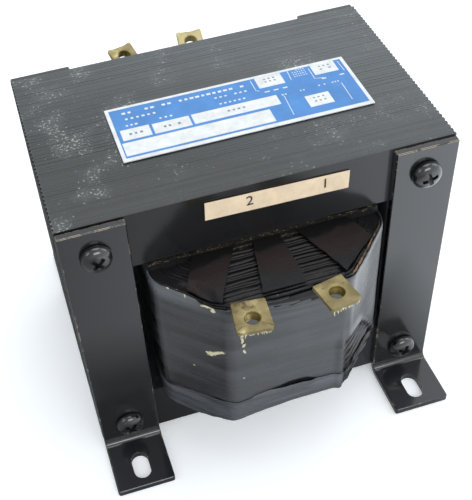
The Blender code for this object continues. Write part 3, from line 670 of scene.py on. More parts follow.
def seat(piece, nodes=(), materials=()):
    """Give a piece its materials, its body and the nodes that it stands for."""
    for material in materials:
        piece.data.materials.append(material)
    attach(piece, "root")
    if nodes:
        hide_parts(*nodes)


def bevelled(piece, width, segments=3, material=-1, angle=math.radians(30.0)):
    """Round the edges of a piece that are sharper than an angle."""
    bevel = piece.modifiers.new("edges", "BEVEL")
    bevel.limit_method = "ANGLE"
    bevel.angle_limit = angle
    bevel.width = width
    bevel.segments = segments
    bevel.material = material
    return settle(piece)


def flat_sides(piece):
    """Shade a bevelled piece so that its flats stay flat and only its edges turn."""
    smooth(piece.data)
    weighted = piece.modifiers.new("normals", "WEIGHTED_NORMAL")
    weighted.weight = 100
    weighted.keep_sharp = True
    settle(piece)


def merged_solid(node, near=0.004 * MM):
    """Solid of a CAD node with its close points merged and its flat faces joined."""
    bm = bmesh.new()
    bm.from_mesh(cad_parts[node].data)
    bmesh.ops.remove_doubles(bm, verts=bm.verts, dist=near)
    bmesh.ops.dissolve_limit(bm, angle_limit=math.radians(1.0), verts=bm.verts, edges=bm.edges)
    return bm


def add_cuts(bm, axis, low, high, steps):
    """Cut a solid into even steps along an axis, so that it can bend."""
    normal = Vector([float(i == axis) for i in range(3)])
    for step in range(1, steps):
        place = normal * (low[axis] + (high[axis] - low[axis]) * step / steps)
        bmesh.ops.bisect_plane(bm, geom=bm.verts[:] + bm.edges[:] + bm.faces[:], plane_co=place,
                               plane_no=normal)


def node_tree(name, sockets):
    """Geometry node tree with its named inputs and one geometry output."""
    tree = bpy.data.node_groups.new(name, "GeometryNodeTree")
    tree.interface.new_socket("Geometry", in_out="INPUT", socket_type="NodeSocketGeometry")
    for label, kind in sockets:
        tree.interface.new_socket(label, in_out="INPUT", socket_type="NodeSocket" + kind)
    tree.interface.new_socket("Geometry", in_out="OUTPUT", socket_type="NodeSocketGeometry")
    return tree, add_node(tree, "NodeGroupInput")


def grown(piece, tree, values):
    """Run a node tree on a piece and keep the result as its plain mesh."""
    modifier = piece.modifiers.new(tree.name, "NODES")
    modifier.node_group = tree
    for item in tree.interface.items_tree:
        if item.item_type == "SOCKET" and item.in_out == "INPUT" and item.name in values:
            modifier[item.identifier] = values[item.name]
    settle(piece)


def stack_tree():
    """Sheets laid in a row, every group turned over, each a little out of line."""
    tree, given = node_tree("lamination_stack", (
        ("Count", "Int"), ("Pitch", "Float"), ("Group", "Int"), ("Scatter", "Float"),
        ("Middle Height", "Float"), ("Seed", "Int"), ("Edges", "Material"),
        ("Faces", "Material")))
    # A row of places, each a little out of line.
    reach = add_node(
        tree, "ShaderNodeMath", {0: given.outputs["Count"], 1: 1.0}, operation="SUBTRACT")
    half = add_node(
        tree, "ShaderNodeMath", {0: reach, 1: given.outputs["Pitch"]}, operation="MULTIPLY")
    start_y = add_node(tree, "ShaderNodeMath", {0: half, 1: -0.5}, operation="MULTIPLY")
    start = add_node(
        tree, "ShaderNodeCombineXYZ", {"Y": start_y, "Z": given.outputs["Middle Height"]})
    offset = add_node(tree, "ShaderNodeCombineXYZ", {"Y": given.outputs["Pitch"]})
    row = add_node(
        tree, "GeometryNodeMeshLine",
        {"Count": given.outputs["Count"], "Start Location": start, "Offset": offset}, mode="OFFSET")
    spread = add_node(
        tree, "ShaderNodeCombineXYZ",
        {"X": given.outputs["Scatter"], "Z": given.outputs["Scatter"]})
    back = add_node(tree, "ShaderNodeVectorMath", {0: spread, "Scale": -1.0}, operation="SCALE")
    shift = add_node(
        tree, "FunctionNodeRandomValue", {0: back, 1: spread, "Seed": given.outputs["Seed"]},
        data_type="FLOAT_VECTOR")
    moved = add_node(tree, "GeometryNodeSetPosition", {"Geometry": row, "Offset": shift})
    # Every other group of sheets is turned over.
    number = add_node(tree, "GeometryNodeInputIndex")
    turn = add_node(
        tree, "ShaderNodeMath", {0: number, 1: given.outputs["Group"]}, operation="DIVIDE")
    whole = add_node(tree, "ShaderNodeMath", {0: turn}, operation="FLOOR")
    odd = add_node(tree, "ShaderNodeMath", {0: whole, 1: 2.0}, operation="MODULO")
    angle = add_node(tree, "ShaderNodeMath", {0: odd, 1: math.pi}, operation="MULTIPLY")
    euler = add_node(tree, "ShaderNodeCombineXYZ", {"Y": angle})
    over = add_node(tree, "FunctionNodeEulerToRotation", {"Euler": euler})
    laid = add_node(
        tree, "GeometryNodeInstanceOnPoints",
        {"Points": moved, "Instance": given.outputs["Geometry"], "Rotation": over})
    tone = add_node(tree, "FunctionNodeRandomValue", {"Seed": 5})
    toned = add_node(
        tree, "GeometryNodeStoreNamedAttribute",
        {"Geometry": laid, "Name": "sheet_tone", "Value": tone}, domain="INSTANCE")
    # One finish on the sheared edges and one on the flats.
    real = add_node(tree, "GeometryNodeRealizeInstances", {"Geometry": toned})
    edged = add_node(
        tree, "GeometryNodeSetMaterial", {"Geometry": real, "Material": given.outputs["Edges"]})
    normal = add_node(tree, "GeometryNodeInputNormal")
    facing = add_node(tree, "ShaderNodeSeparateXYZ", {"Vector": normal})
    size = add_node(tree, "ShaderNodeMath", {0: facing.outputs["Y"]}, operation="ABSOLUTE")
    flat = add_node(tree, "FunctionNodeCompare", {0: size, 1: 0.5}, operation="GREATER_THAN")
    faced = add_node(
        tree, "GeometryNodeSetMaterial",
        {"Geometry": edged, "Selection": flat, "Material": given.outputs["Faces"]})
    add_node(tree, "NodeGroupOutput", {"Geometry": faced})
    return tree


def corner_tree():
    """One fastener set at the four corners of the core, each turned its own way."""
    tree, given = node_tree("corner_fasteners", (
        ("Width", "Float"), ("Height", "Float"), ("Middle Height", "Float"), ("Seed", "Int"),
        ("Finish", "Material")))
    grid = add_node(
        tree, "GeometryNodeMeshGrid",
        {"Size X": given.outputs["Width"], "Size Y": given.outputs["Height"], "Vertices X": 2,
         "Vertices Y": 2})
    lift = add_node(tree, "ShaderNodeCombineXYZ", {"Z": given.outputs["Middle Height"]})
    upright = add_node(
        tree, "GeometryNodeTransform",
        {"Geometry": grid.outputs["Mesh"], "Translation": lift,
         "Rotation": (math.pi / 2, 0.0, 0.0)})
    roll = add_node(
        tree, "FunctionNodeRandomValue",
        {"Min": -math.pi, "Max": math.pi, "Seed": given.outputs["Seed"]})
    euler = add_node(tree, "ShaderNodeCombineXYZ", {"Y": roll})
    turn = add_node(tree, "FunctionNodeEulerToRotation", {"Euler": euler})
    placed = add_node(
        tree, "GeometryNodeInstanceOnPoints",
        {"Points": upright, "Instance": given.outputs["Geometry"], "Rotation": turn})
    real = add_node(tree, "GeometryNodeRealizeInstances", {"Geometry": placed})
    done = add_node(
        tree, "GeometryNodeSetMaterial", {"Geometry": real, "Material": given.outputs["Finish"]})
    add_node(tree, "NodeGroupOutput", {"Geometry": done})
    return tree


def add_flat_plate(bm, outline, holes, thickness):
    """Plate in the XZ plane with round holes, its thickness along Y."""
    edges = []
    for loop in [outline] + holes:
        verts = [bm.verts.new((x, -thickness / 2, z)) for x, z in loop]
        edges += [bm.edges.new((verts[i - 1], verts[i])) for i in range(len(verts))]
    filled = bmesh.ops.triangle_fill(bm, use_beauty=True, use_dissolve=False, edges=edges)
    faces = [item for item in filled["geom"] if isinstance(item, bmesh.types.BMFace)]
    grown_faces = bmesh.ops.extrude_face_region(bm, geom=faces)
    moved = [item for item in grown_faces["geom"] if isinstance(item, bmesh.types.BMVert)]
    bmesh.ops.translate(bm, verts=moved, vec=(0.0, thickness, 0.0))


def around(sides, start=0.0):
    """Cosine and sine of evenly spaced directions."""
    return [(math.cos(math.tau * (i + start) / sides), math.sin(math.tau * (i + start) / sides))
            for i in range(sides)]


def bolt_holes(z):
    """Points of the two round holes of a sheet at a height."""
    return [[(x + BOLT_HOLE / 2 * across, z + BOLT_HOLE / 2 * up) for across, up in around(8)]
            for x in (-SCREW_REACH_X, SCREW_REACH_X)]


def make_laminations():
    """Interleaved E and I sheets of the core."""
    looks = bpy.context.scene.core_looks
    margin = looks.scatter + 0.02 * MM
    wide = CORE_HALF_X - margin
    high = CORE_HALF_Z - margin
    yoke = high - LEG
    bar_top = -high + LEG
    foot = bar_top + JOINT_GAP
    window = wide - LEG
    e_outline = [(-wide, high), (-wide, foot), (-window, foot), (-window, yoke), (-LEG, yoke),
                 (-LEG, foot), (LEG, foot), (LEG, yoke), (window, yoke), (window, foot),
                 (wide, foot), (wide, high)]
    bar = wide - looks.tooth
    i_outline = [(-bar, -high), (bar, -high), (bar, bar_top), (-bar, bar_top)]
    bm = bmesh.new()
    add_flat_plate(bm, e_outline, bolt_holes(SCREW_REACH_Z), looks.sheet_thickness)
    add_flat_plate(bm, i_outline, bolt_holes(-SCREW_REACH_Z), looks.sheet_thickness)
    piece = piece_from("lamination_stack", bm)
    grown(piece, stack_tree(), {
        "Count": looks.sheets, "Group": looks.group, "Scatter": looks.scatter,
        "Pitch": (STACK_DEPTH - looks.sheet_thickness) / (looks.sheets - 1),
        "Middle Height": CORE_MIDDLE_Z, "Seed": 3,
        "Edges": sheet_edge_material(looks.edge_colour), "Faces": sheet_face_material()})
    seat(piece, E_NODES + I_NODES)


def make_brackets():
    """Four angle brackets with rounded, rubbed edges."""
    looks = bpy.context.scene.bracket_looks
    flat = enamel_material("black_dipped_enamel", looks.enamel, looks.bare_metal, wear=0.0)
    edge = enamel_material("black_enamel_rubbed_edge", looks.enamel, looks.bare_metal, wear=0.17)
    for end in ("front", "rear"):
        for side in ("left", "right"):
            node = f"bracket_{end}_{side}"
            piece = piece_from(f"mounting_{node}", merged_solid(node, near=0.03 * MM))
            piece.data.materials.append(flat)
            piece.data.materials.append(edge)
            flat_sides(bevelled(piece, looks.edge_radius, material=1))
            seat(piece, [node])


def ring_of(radius, y, sides):
    """Circle about the Y axis."""
    return [Vector((radius * across, y, radius * up)) for across, up in around(sides)]


def add_skin(bm, loops, closed=False, caps=False):
    """Skin of quads over loops with equal counts."""
    rows = [[bm.verts.new(point) for point in loop] for loop in loops]
    if closed:
        rows.append(rows[0])
    count = len(rows[0])
    for low, high in zip(rows, rows[1:]):
        for i in range(count):
            bm.faces.new((low[i - 1], low[i], high[i], high[i - 1]))
    if caps:
        bm.faces.new(rows[0])
        bm.faces.new(reversed(rows[-1]))


def cut_away(piece, cutter):
    """Cut one piece from another."""
    cutting = piece.modifiers.new("cut", "BOOLEAN")
    cutting.operation = "DIFFERENCE"
    cutting.solver = "EXACT"
    cutting.object = cutter
    settle(piece)
    bpy.data.objects.remove(cutter)


def screw_piece(looks):
    """Round head screw with a cross recess and a threaded end."""
    low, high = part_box("screw_left_upper")
    head_radius = (high.x - low.x) / 2
    brim = 0.6 * MM
    edge = 0.12 * MM
    shank = 2.75 * MM
    thread_from = 45.0 * MM
    crown = HEAD_SEAT - low.y - brim
    loops = []
    for step in range(15):
        angle = math.pi / 2 * step / 14
        loops.append(ring_of(max(head_radius * math.sin(angle), 0.15 * MM),
                             HEAD_SEAT - brim - crown * math.cos(angle) ** 0.9, SCREW_SIDES))
    loops += [ring_of(radius, y, SCREW_SIDES) for radius, y in (
        (head_radius, HEAD_SEAT - edge), (head_radius - edge, HEAD_SEAT), (shank, HEAD_SEAT),
        (shank, thread_from))]
    advance = looks.thread_pitch / 6
    for row in range(int((high.y - 0.9 * MM - thread_from) / advance)):
        y = thread_from + 0.1 * MM + row * advance
        loop = []
        for i, (across, up) in enumerate(around(SCREW_SIDES)):
            phase = (y / looks.thread_pitch - i / SCREW_SIDES) % 1.0
            radius = shank - looks.thread_depth * abs(2 * phase - 1)
            loop.append(Vector((radius * across, y, radius * up)))
        loops.append(loop)
    loops.append(ring_of(shank - 0.4 * MM, high.y - 0.5 * MM, SCREW_SIDES))
    loops.append(ring_of(shank - 0.8 * MM, high.y, SCREW_SIDES))
    bm = bmesh.new()
    add_skin(bm, loops, caps=True)
    piece = piece_from("corner_screws", bm)
    for upright in (False, True):
        loops = []
        for y, share in ((low.y - MM, 1.3), (low.y + 2.2 * MM, 0.45)):
            wide, tall = looks.recess_arm * share, 0.72 * MM
            if upright:
                wide, tall = tall, wide
            loops.append([Vector((x * wide, y, z * tall)) for x, z in SQUARE])
        bm = bmesh.new()
        add_skin(bm, loops, caps=True)
        cut_away(piece, piece_from("recess", bm))
    return piece


def washer_piece():
    """Split spring washer."""
    low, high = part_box("lock_washer_left_upper")
    outer = (high.x - low.x) / 2
    inner = 2.9 * MM
    margin = 0.02 * MM
    rise = 0.22 * MM
    sides = 36
    gap = 2
    loops = []
    for i in range(sides - gap + 1):
        angle = math.tau * i / sides
        along = Vector((math.cos(angle), 0.0, math.sin(angle)))
        lean = rise * (i / (sides - gap) - 0.5)
        near = low.y + rise / 2 + margin + lean
        far = high.y - rise / 2 - margin + lean
        loops.append([along * radius + Vector((0.0, y, 0.0)) for radius, y in (
            (inner, near), (outer, near), (outer, far), (inner, far))])
    bm = bmesh.new()
    add_skin(bm, loops, caps=True)
    return bevelled(piece_from("corner_lock_washers", bm), 0.15 * MM, segments=2,
                    angle=math.radians(50.0))


def nut_piece():
    """Hexagon nut with turned-down corners."""
    low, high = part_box("nut_left_upper")
    flats = 5.55 * MM
    bore = 2.85 * MM
    fall = 0.5 * MM
    sides = 48

    def hexagon(y, share):
        """Section of the nut where its corners are turned down by a share of their full size."""
        limit = flats * (1.02 + 0.155 * share)
        ring = []
        for i in range(sides):
            angle = math.tau * i / sides
            radius = min(flats / math.cos(angle % (math.pi / 3) - math.pi / 6), limit)
            ring.append(Vector((radius * math.cos(angle), y, radius * math.sin(angle))))
        return ring

    shares = (0.0, 0.35, 0.7, 1.0)
    loops = [ring_of(bore, low.y + fall, sides), ring_of(bore + fall, low.y, sides)]
    loops += [hexagon(low.y + fall * share, share) for share in shares]
    loops += [hexagon(high.y - fall * share, share) for share in reversed(shares)]
    loops += [ring_of(bore + fall, high.y, sides), ring_of(bore, high.y - fall, sides)]
    bm = bmesh.new()
    add_skin(bm, loops, closed=True)
    return piece_from("corner_nuts", bm)


def make_fasteners():
    """Screws, lock washers and nuts set at the four corners."""
    looks = bpy.context.scene.fastener_looks
    finish = enamel_material("black_enamel_on_fasteners", linear("#17181a"), linear("#8b8374"),
                             wear=0.02, gloss=0.1)
    tree = corner_tree()
    for piece, node, seed in ((screw_piece(looks), "screw", looks.seed),
                              (washer_piece(), "lock_washer", 2), (nut_piece(), "nut", 8)):
        grown(piece, tree, {"Width": 2 * SCREW_REACH_X, "Height": 2 * SCREW_REACH_Z,
                            "Middle Height": CORE_MIDDLE_Z, "Seed": seed,
                            "Finish": finish})
        smooth(piece.data)
        seat(piece, [f"{node}_{corner}" for corner in CORNERS])


def rounded(corners, radii, segments=9):
    """Polygon with its corners rounded by tangent arcs, the same count for any size."""
    points = []
    count = len(corners)
    for i, corner in enumerate(corners):
        here = Vector(corner)
        before = (Vector(corners[i - 1]) - here).normalized()
        after = (Vector(corners[(i + 1) % count]) - here).normalized()
        half = before.angle(after) / 2
        tangent = radii[i] / math.tan(half)
        centre = here + (before + after).normalized() * (radii[i] / math.sin(half))
        start = here + before * tangent - centre
        sweep = start.angle_signed(here + after * tangent - centre)
        points += [centre + Matrix.Rotation(-sweep * step / segments, 2) @ start
                   for step in range(segments + 1)]
    return points


def coil_outline(build):
    """Outline of the coil at a distance from the tube's outer face, measured at its side."""
    shoulder = (TUBE_HALF_X + build, TUBE_HALF_Y - CORNER_CUT + SHOULDER_GROWTH * build)
    front = (TUBE_HALF_X - CORNER_CUT - FRONT_FLAT_LOSS * build,
             TUBE_HALF_Y + FRONT_BULGE * build)
    corners = [shoulder, front, (-front[0], front[1]), (-shoulder[0], shoulder[1])]
    corners += [(-x, -y) for x, y in corners]
    shoulder_radius = CORNER_RADIUS + SHOULDER_RADIUS_GROWTH * build
    front_radius = CORNER_RADIUS + FRONT_RADIUS_GROWTH * build
    return rounded(corners, [shoulder_radius, front_radius, front_radius, shoulder_radius] * 2)


class Outline:
    """Outline of the coil sampled so that points of one number lie on one ray at any build."""

    def __init__(self, step):
        reference = coil_outline(FILM_BUILD)
        self.samples = []
        count = len(reference)
        for i, point in enumerate(reference):
            parts = max(1, round((reference[(i + 1) % count] - point).length / step))
            self.samples += [(i, k / parts) for k in range(parts)]
        loop = self.at(FILM_BUILD)
        first = min(range(len(loop)), key=lambda k: (loop[k] - Vector((0, -1))).length)
        self.samples = self.samples[first:] + self.samples[:first]
        self.outward = [(b - a).normalized() for a, b in zip(self.at(FILM_BUILD - MM),
                                                             self.at(FILM_BUILD))]

    def at(self, build):
        """Points of the outline at one build."""
        points = coil_outline(build)
        count = len(points)
        return [points[i].lerp(points[(i + 1) % count], t) for i, t in self.samples]


def lug_floors():
    """Plan outlines of the lugs, a little larger, where the rims of the coil stay below them."""
    floors = []
    for _, _, hole, turn, _, shape in LUGS:
        out = lug_way(hole, turn).xy
        side = Vector((out.y, -out.x)) * (max(shape[:2]) / 2 + 0.9)
        start = Vector(hole) - out * (shape[3] + 0.6)
        stop = Vector(hole) + out * (shape[4] + 0.9)
        floors.append([p * MM for p in (start - side, stop - side, stop + side, start + side)])
    return floors


def inside(point, polygon):
    """Whether a point of the plan lies in a polygon."""
    crossings = False
    for i, here in enumerate(polygon):
        last = polygon[i - 1]
        if (here.y > point.y) != (last.y > point.y):
            if point.x < (last.x - here.x) * (point.y - here.y) / (last.y - here.y) + here.x:
                crossings = not crossings
    return crossings


def below_lugs(point, z, floors):
    """Height of a rim of the coil, kept clear of the lugs that cross it."""
    if any(inside(point, floor) for floor in floors):
        return min(z, LUG_SEAT - LUG_CLEARANCE)
    return z


def wave(x, y, z, length, seed):
    """Smooth noise from -1 to 1 with a given wavelength."""
    return noise.noise(Vector((x / length + 7.3 * seed, y / length - 3.1 * seed, z / length)))


def ease(value):
    """Soft step from 0 to 1."""
    value = min(1.0, max(0.0, value))
    return value * value * (3 - 2 * value)


# Across, and how far the rims of the film and of the wrap lie below the coil's end, in mm.
RIM_FALLS = (
    (-40.5, 0.1, 0.0), (-33.0, 0.4, 0.2), (-29.5, 0.9, 0.6), (-27.0, 2.3, 1.7), (-24.5, 2.5, 1.9),
    (-22.0, 1.6, 0.9), (-19.0, 1.3, 0.3), (-9.0, 1.6, 0.2), (0.0, 1.8, 0.2), (7.0, 1.6, 0.2),
    (14.0, 1.2, 0.2), (19.0, 1.1, 0.3), (22.0, 1.6, 0.3), (26.0, 1.8, 0.3), (31.0, 1.5, 0.3),
    (36.0, 0.9, 0.2), (40.0, 0.1, 0.0),
)
# Across, height of the lip of the lower band and of the band's bottom, in mm.
BAND_EDGES = (
    (-40.0, 36.3, 26.6), (-36.4, 37.5, 25.9), (-31.9, 38.1, 25.5), (-28.0, 38.6, 26.4),
    (-24.6, 39.1, 27.8), (-22.0, 39.8, 28.6), (-18.8, 39.5, 29.4), (-15.0, 40.0, 30.1),
    (-12.4, 41.2, 30.5), (-8.0, 41.7, 31.0), (-4.0, 41.6, 31.3), (0.6, 42.1, 31.8),
    (4.7, 42.1, 31.8), (8.8, 41.2, 31.7), (14.0, 40.9, 31.8), (19.3, 40.8, 32.2),
    (23.7, 40.5, 33.0), (28.0, 40.2, 31.4), (40.0, 39.5, 29.6),
)


def on_front(x, y, table, column, elsewhere):
    """Value of a table along the front of the coil, in metres, and another round the back."""
    across = min(max(x / MM, table[0][0]), table[-1][0] - 0.001)
    row = next(i for i in range(1, len(table)) if across < table[i][0])
    before, after = table[row - 1], table[row]
    share = ease((across - before[0]) / (after[0] - before[0]))
    value = before[column] + (after[column] - before[column]) * share
    return elsewhere + (value * MM - elsewhere) * ease((-y - 20 * MM) / (20 * MM))


def sink(x, y):
    """How far the outer winding ends bend down with the wrap's rim."""
    front = (abs(y) - TUBE_HALF_Y) / FRONT_BULGE
    corner = (abs(x) - TUBE_HALF_X + abs(y) - TUBE_HALF_Y + CORNER_CUT) / (1 + SHOULDER_GROWTH)
    build = max(front, corner)
    return on_front(x, y, RIM_FALLS, 2, 0.2 * MM) * ease((build - 10 * MM) / (4 * MM))


def add_sleeve(bm, outline, floors, inner, outer, bottom, top, sway, seed):
    """Sleeve of one layer: rounded, wavy upper end, kept below the lugs."""
    thick = outer - inner
    lip = min(0.45 * thick, 0.7 * MM)
    # Build, height and share of the wave of each corner of the section.
    section = [(inner, bottom, 0.0), (outer, bottom, 0.0), (outer, top - 6 * MM, 0.0),
               (outer, top - lip, 1.0), (outer - 0.3 * lip, top - 0.3 * lip, 1.0),
               (outer - lip, top, 1.0), (inner + lip, top, 1.0),
               (inner + 0.3 * lip, top - 0.3 * lip, 1.0), (inner, top - lip, 1.0),
               (inner, top - 6 * MM, 0.0)]
    loops = []
    for build, height, share in section:
        loop = []
        for k, point in enumerate(outline.at(build)):
            rise = share * sway * (wave(point.x, point.y, 0.0, 9 * MM, seed)
                                   + 0.5 * wave(point.x, point.y, 0.0, 2.6 * MM, seed + 9))
            side = share * 0.28 * thick * wave(point.x, point.y, 0.0, 7 * MM, seed + 4)
            at = point + outline.outward[k] * side
            z = height + rise - share * sink(at.x, at.y)
            loop.append(Vector((*at, below_lugs(at, z, floors))))
        loops.append(loop)
    add_skin(bm, loops, closed=True)


# Node, its build from and to and its upper end in millimetres, parts that it is split into, and
# its finish.
SLEEVES = (
    ("secondary_layer_1", 0.35, 2.25, 88.9, 2, "wire"),
    ("secondary_paper_1", 2.6, 3.0, 89.1, 1, "paper"),
    ("secondary_layer_2", 3.35, 5.25, 88.9, 2, "wire"),
    ("barrier_paper", 5.6, 6.2, 89.2, 1, "paper"),
    ("primary_layer_1", 6.55, 8.05, 88.8, 2, "wire"),
    ("primary_paper_1", 8.4, 8.8, 89.1, 1, "paper"),
    ("primary_layer_2", 9.15, 10.65, 88.8, 2, "wire"),
    ("primary_paper_2", 11.0, 11.4, 89.0, 1, "paper"),
    ("primary_layer_3", 11.75, 13.25, 88.7, 2, "wire"),
    ("lead_insulation", 13.6, 14.9, 88.7, 1, "paper"),
)


def add_board_edge(bm, way):
    """Rough upper edge of the board at a face of the core, with the varnish before it."""
    sections = 162
    left = -40.25 * MM
    pitch = 0.5 * MM
    core_face = 41.95 * MM
    board_face = 42.95 * MM
    bottom = 88.0 * MM
    height = 91.0 * MM
    loops = []
    for step in range(sections):
        x = left + pitch * step
        top = height + 0.25 * MM * wave(x, way, 0.0, 2.3 * MM, 31)
        outer = board_face + 0.3 * MM * wave(x, way, 0.0, 1.7 * MM, 32)
        ring = ((core_face, bottom), (outer + 0.8 * MM, bottom + 0.2 * MM),
                (outer, top - 0.5 * MM), (outer, top), (core_face, top))
        loops.append([Vector((x, way * y, z)) for y, z in ring])
    add_skin(bm, loops, caps=True)


def make_sleeves(outline, floors, looks):
    """Wire layers and papers, nested on the tube."""
    finishes = {
        "wire": winding_material("varnished_magnet_wire", looks.varnish, linear("#5b4332"),
                                 show=0.02, scale=700.0),
        "paper": winding_material("varnished_kraft_paper", looks.varnish, linear("#7c6a4f"),
                                  show=0.07, scale=520.0)}
    for seed, (node, inner, outer, top, parts, kind) in enumerate(SLEEVES):
        # The insulation's lower end stays hidden behind the band round it.
        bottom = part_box(node)[0].z + (1.4 * MM if node == "lead_insulation" else 0.0)
        bm = bmesh.new()
        width = (outer - inner) / parts
        for part in range(parts):
            start = inner + part * width + (0.08 if part else 0.0)
            stop = inner + (part + 1) * width
            add_sleeve(bm, outline, floors, start * MM, stop * MM, bottom,
                       (top - 0.25 * part) * MM, looks.ridge_wave, seed * 3 + part)
        piece = piece_from(f"{node}_ends", bm)
        smooth(piece.data, SOFT)
        seat(piece, [node], [finishes[kind]])


def make_tube(board):
    """Bobbin tube, its upper end a little below the board at the core."""
    tube = piece_from("bobbin_tube", merged_solid("coil_tube"))
    bevelled(tube, 0.25 * MM, segments=2)
    for vert in tube.data.vertices:
        if vert.co.z > 80 * MM:
            vert.co.z -= 0.5 * MM
    smooth(tube.data)
    seat(tube, ["coil_tube"], [board])


def make_board_edges(board):
    """Torn edges of the board between the coil and the faces of the core."""
    bm = bmesh.new()
    for way in (-1, 1):
        add_board_edge(bm, way)
    strip = piece_from("board_edges_at_core", bm)
    smooth(strip.data)
    for face in strip.data.polygons:
        face.material_index = int(face.center.z < 90.6 * MM)
    flank = winding_material("varnished_board_flank", linear("#0a0a0b"), linear("#4d4236"),
                             show=0.06, scale=600.0, gloss=0.5)
    seat(strip, (), [board, flank])


def make_winding():
    """Bobbin tube, the nested layers whose ends show on top of the coil and the varnish on them."""
    looks = bpy.context.scene.coil_looks
    outline = Outline(looks.step * 1.2)
    floors = lug_floors()
    board = winding_material("varnished_fish_paper", linear("#171615"), linear("#85775d"),
                             show=0.25, scale=1500.0)
    make_sleeves(outline, floors, looks)
    make_tube(board)
    make_pool(outline, floors, looks)
    make_board_edges(board)


def make_pool(outline, floors, looks):
    """Varnish that ran between the layers: low between the tapes, nearly full beside them."""
    inner, pitch, rows = 0.15 * MM, 0.598 * MM, 26
    bottom, low, filling = 84.0 * MM, 88.35 * MM, 0.42 * MM
    loops = []
    for row in range(rows):
        loop = []
        for point in outline.at(inner + pitch * row):
            x, y = point
            beside = ease((abs(x) - 21 * MM - 0.35 * (abs(y) - TUBE_HALF_Y)) / (3 * MM))
            z = low + filling * beside - sink(x, y)
            z += 0.16 * MM * wave(x, y, 0.0, 3.4 * MM, 21) + 0.08 * MM * wave(x, y, 0.0, MM, 22)
            loop.append(Vector((x, y, below_lugs(point, z, floors))))
        loops.append(loop)
    under = [[Vector((*p.xy, bottom)) for p in loop] for loop in (loops[-1], loops[0])]
    bm = bmesh.new()
    add_skin(bm, loops + under, closed=True)
    pool = piece_from("varnish_between_layers", bm)
    smooth(pool.data, SOFT)
    finish = winding_material("pooled_black_varnish", looks.varnish, linear("#4d4236"), show=0.04,
                              scale=600.0, gloss=0.26)
    seat(pool, (), [finish])


def pocket_share(x, y, z):
    """How far a place lies in the gathered pocket beside the fold, low on the front's right."""
    if y > -45 * MM or x < 17 * MM:
        return 0.0
    past = x / MM - 19.6
    upper = 58.5 - 0.25 * past - 0.35 * max(0.0, past - 8.0) ** 1.6
    return ease((past + 0.3) / 1.0) * ease((upper - z / MM) / 3.0)


def film_ripple(x, y, z, sway):
    """How far the outer film stands off at a place on the coil."""
    drift = sway * (wave(x, y, z, 23 * MM, 2) + 0.4 * wave(x, y, z * 0.4, 8 * MM, 5))
    if y > -45 * MM:
        return drift
    # Ripples under the upper rim, between the two front lugs and past them.
    across = math.exp(-((x + 0.5 * MM) / (10 * MM)) ** 2)
    slope = z + 0.1 * x - 0.4 * MM * wave(x, 0.0, 0.0, 9 * MM, 3)
    for level, width, height in ((86.2, 0.5, 0.35), (84.7, 0.5, -0.55), (83.2, 0.7, 0.4),
                                 (80.6, 0.9, 0.25)):
        drift += across * height * MM * math.exp(-((slope - level * MM) / (width * MM)) ** 2)
    # The fold at the lower right, the bulge over the pocket and the gathers in it.
    pocket = pocket_share(x, y, z)
    past = x / MM - 19.6
    lines = z / MM + 0.1 * past + 0.9 * wave(x, y, z, 7 * MM, 6)
    gather = math.sin(lines * math.tau / 3.3) + 0.5 * math.sin(lines * math.tau / 1.9 + past)
    drift += pocket * (0.26 * gather - 0.45) * MM
    drift += 0.9 * MM * math.exp(-((past + 1.0) / 1.5) ** 2) * ease((62 * MM - z) / (8 * MM))
    if past > 0:
        over = z / MM - 59.0 + 0.25 * past + 0.35 * max(0.0, past - 8.0) ** 1.6
        drift += 0.45 * MM * ease(past / 2) * math.exp(-(over / 2.2) ** 2)
    return drift


def sheet_loop(outline, floors, sway, place_of):
    """Loop round the coil; a function gives the stand-off and height of each point of it."""
    loop = []
    for k, point in enumerate(outline.at(FILM_BUILD)):
        stand, z = place_of(point.x, point.y)
        stand += film_ripple(point.x, point.y, z, sway)
        at = point + outline.outward[k] * stand
        loop.append(Vector((*at, below_lugs(at, z, floors))))
    return loop


def ragged_top(x, y, column):
    """Height of the rim of the film or of the wrap."""
    fall = on_front(x, y, RIM_FALLS, column, 0.3 * MM)
    return COIL_TOP - fall - 0.22 * MM * (1 + wave(x, y, 0.0, 2.5 * MM, 11))


def add_film(bm, outline, floors, sway, rows=62):
    """Film with ripples, a soft upper lip and its lower edge tucked behind the band."""
    def place_of(share, depth):
        def place(x, y):
            bottom = on_front(x, y, BAND_EDGES, 1, 40.9 * MM) - 0.9 * MM
            top = ragged_top(x, y, 1)
            z = bottom + (top - bottom) * share
            tuck = 0.3 * MM * (1 - ease((z - bottom - 0.5 * MM) / (2.5 * MM)))
            lip = 0.35 * MM * ease((z - top + 1.2 * MM) / (1.2 * MM)) ** 2
            return -tuck - lip - depth, z
        return place

    loops = [sheet_loop(outline, floors, sway, place_of(row / rows, 0.0))
             for row in range(rows + 1)]
    loops += [sheet_loop(outline, floors, sway, place_of(share, 0.38 * MM))
              for share in (1.0, 0.97, 0.6, 0.3, 0.04, 0.0)]
    add_skin(bm, loops, closed=True)


def gap_of(x, y):
    """How far the lip of the band stands off the film: it gapes right of the front's middle."""
    if y > -60 * MM:
        return 0.0
    gape = ease((x + 9 * MM) / (11 * MM)) * ease((10.5 * MM - x) / (4 * MM))
    return 0.85 * MM * gape + 0.3 * MM * math.exp(-((x + 25 * MM) / (2 * MM)) ** 2)


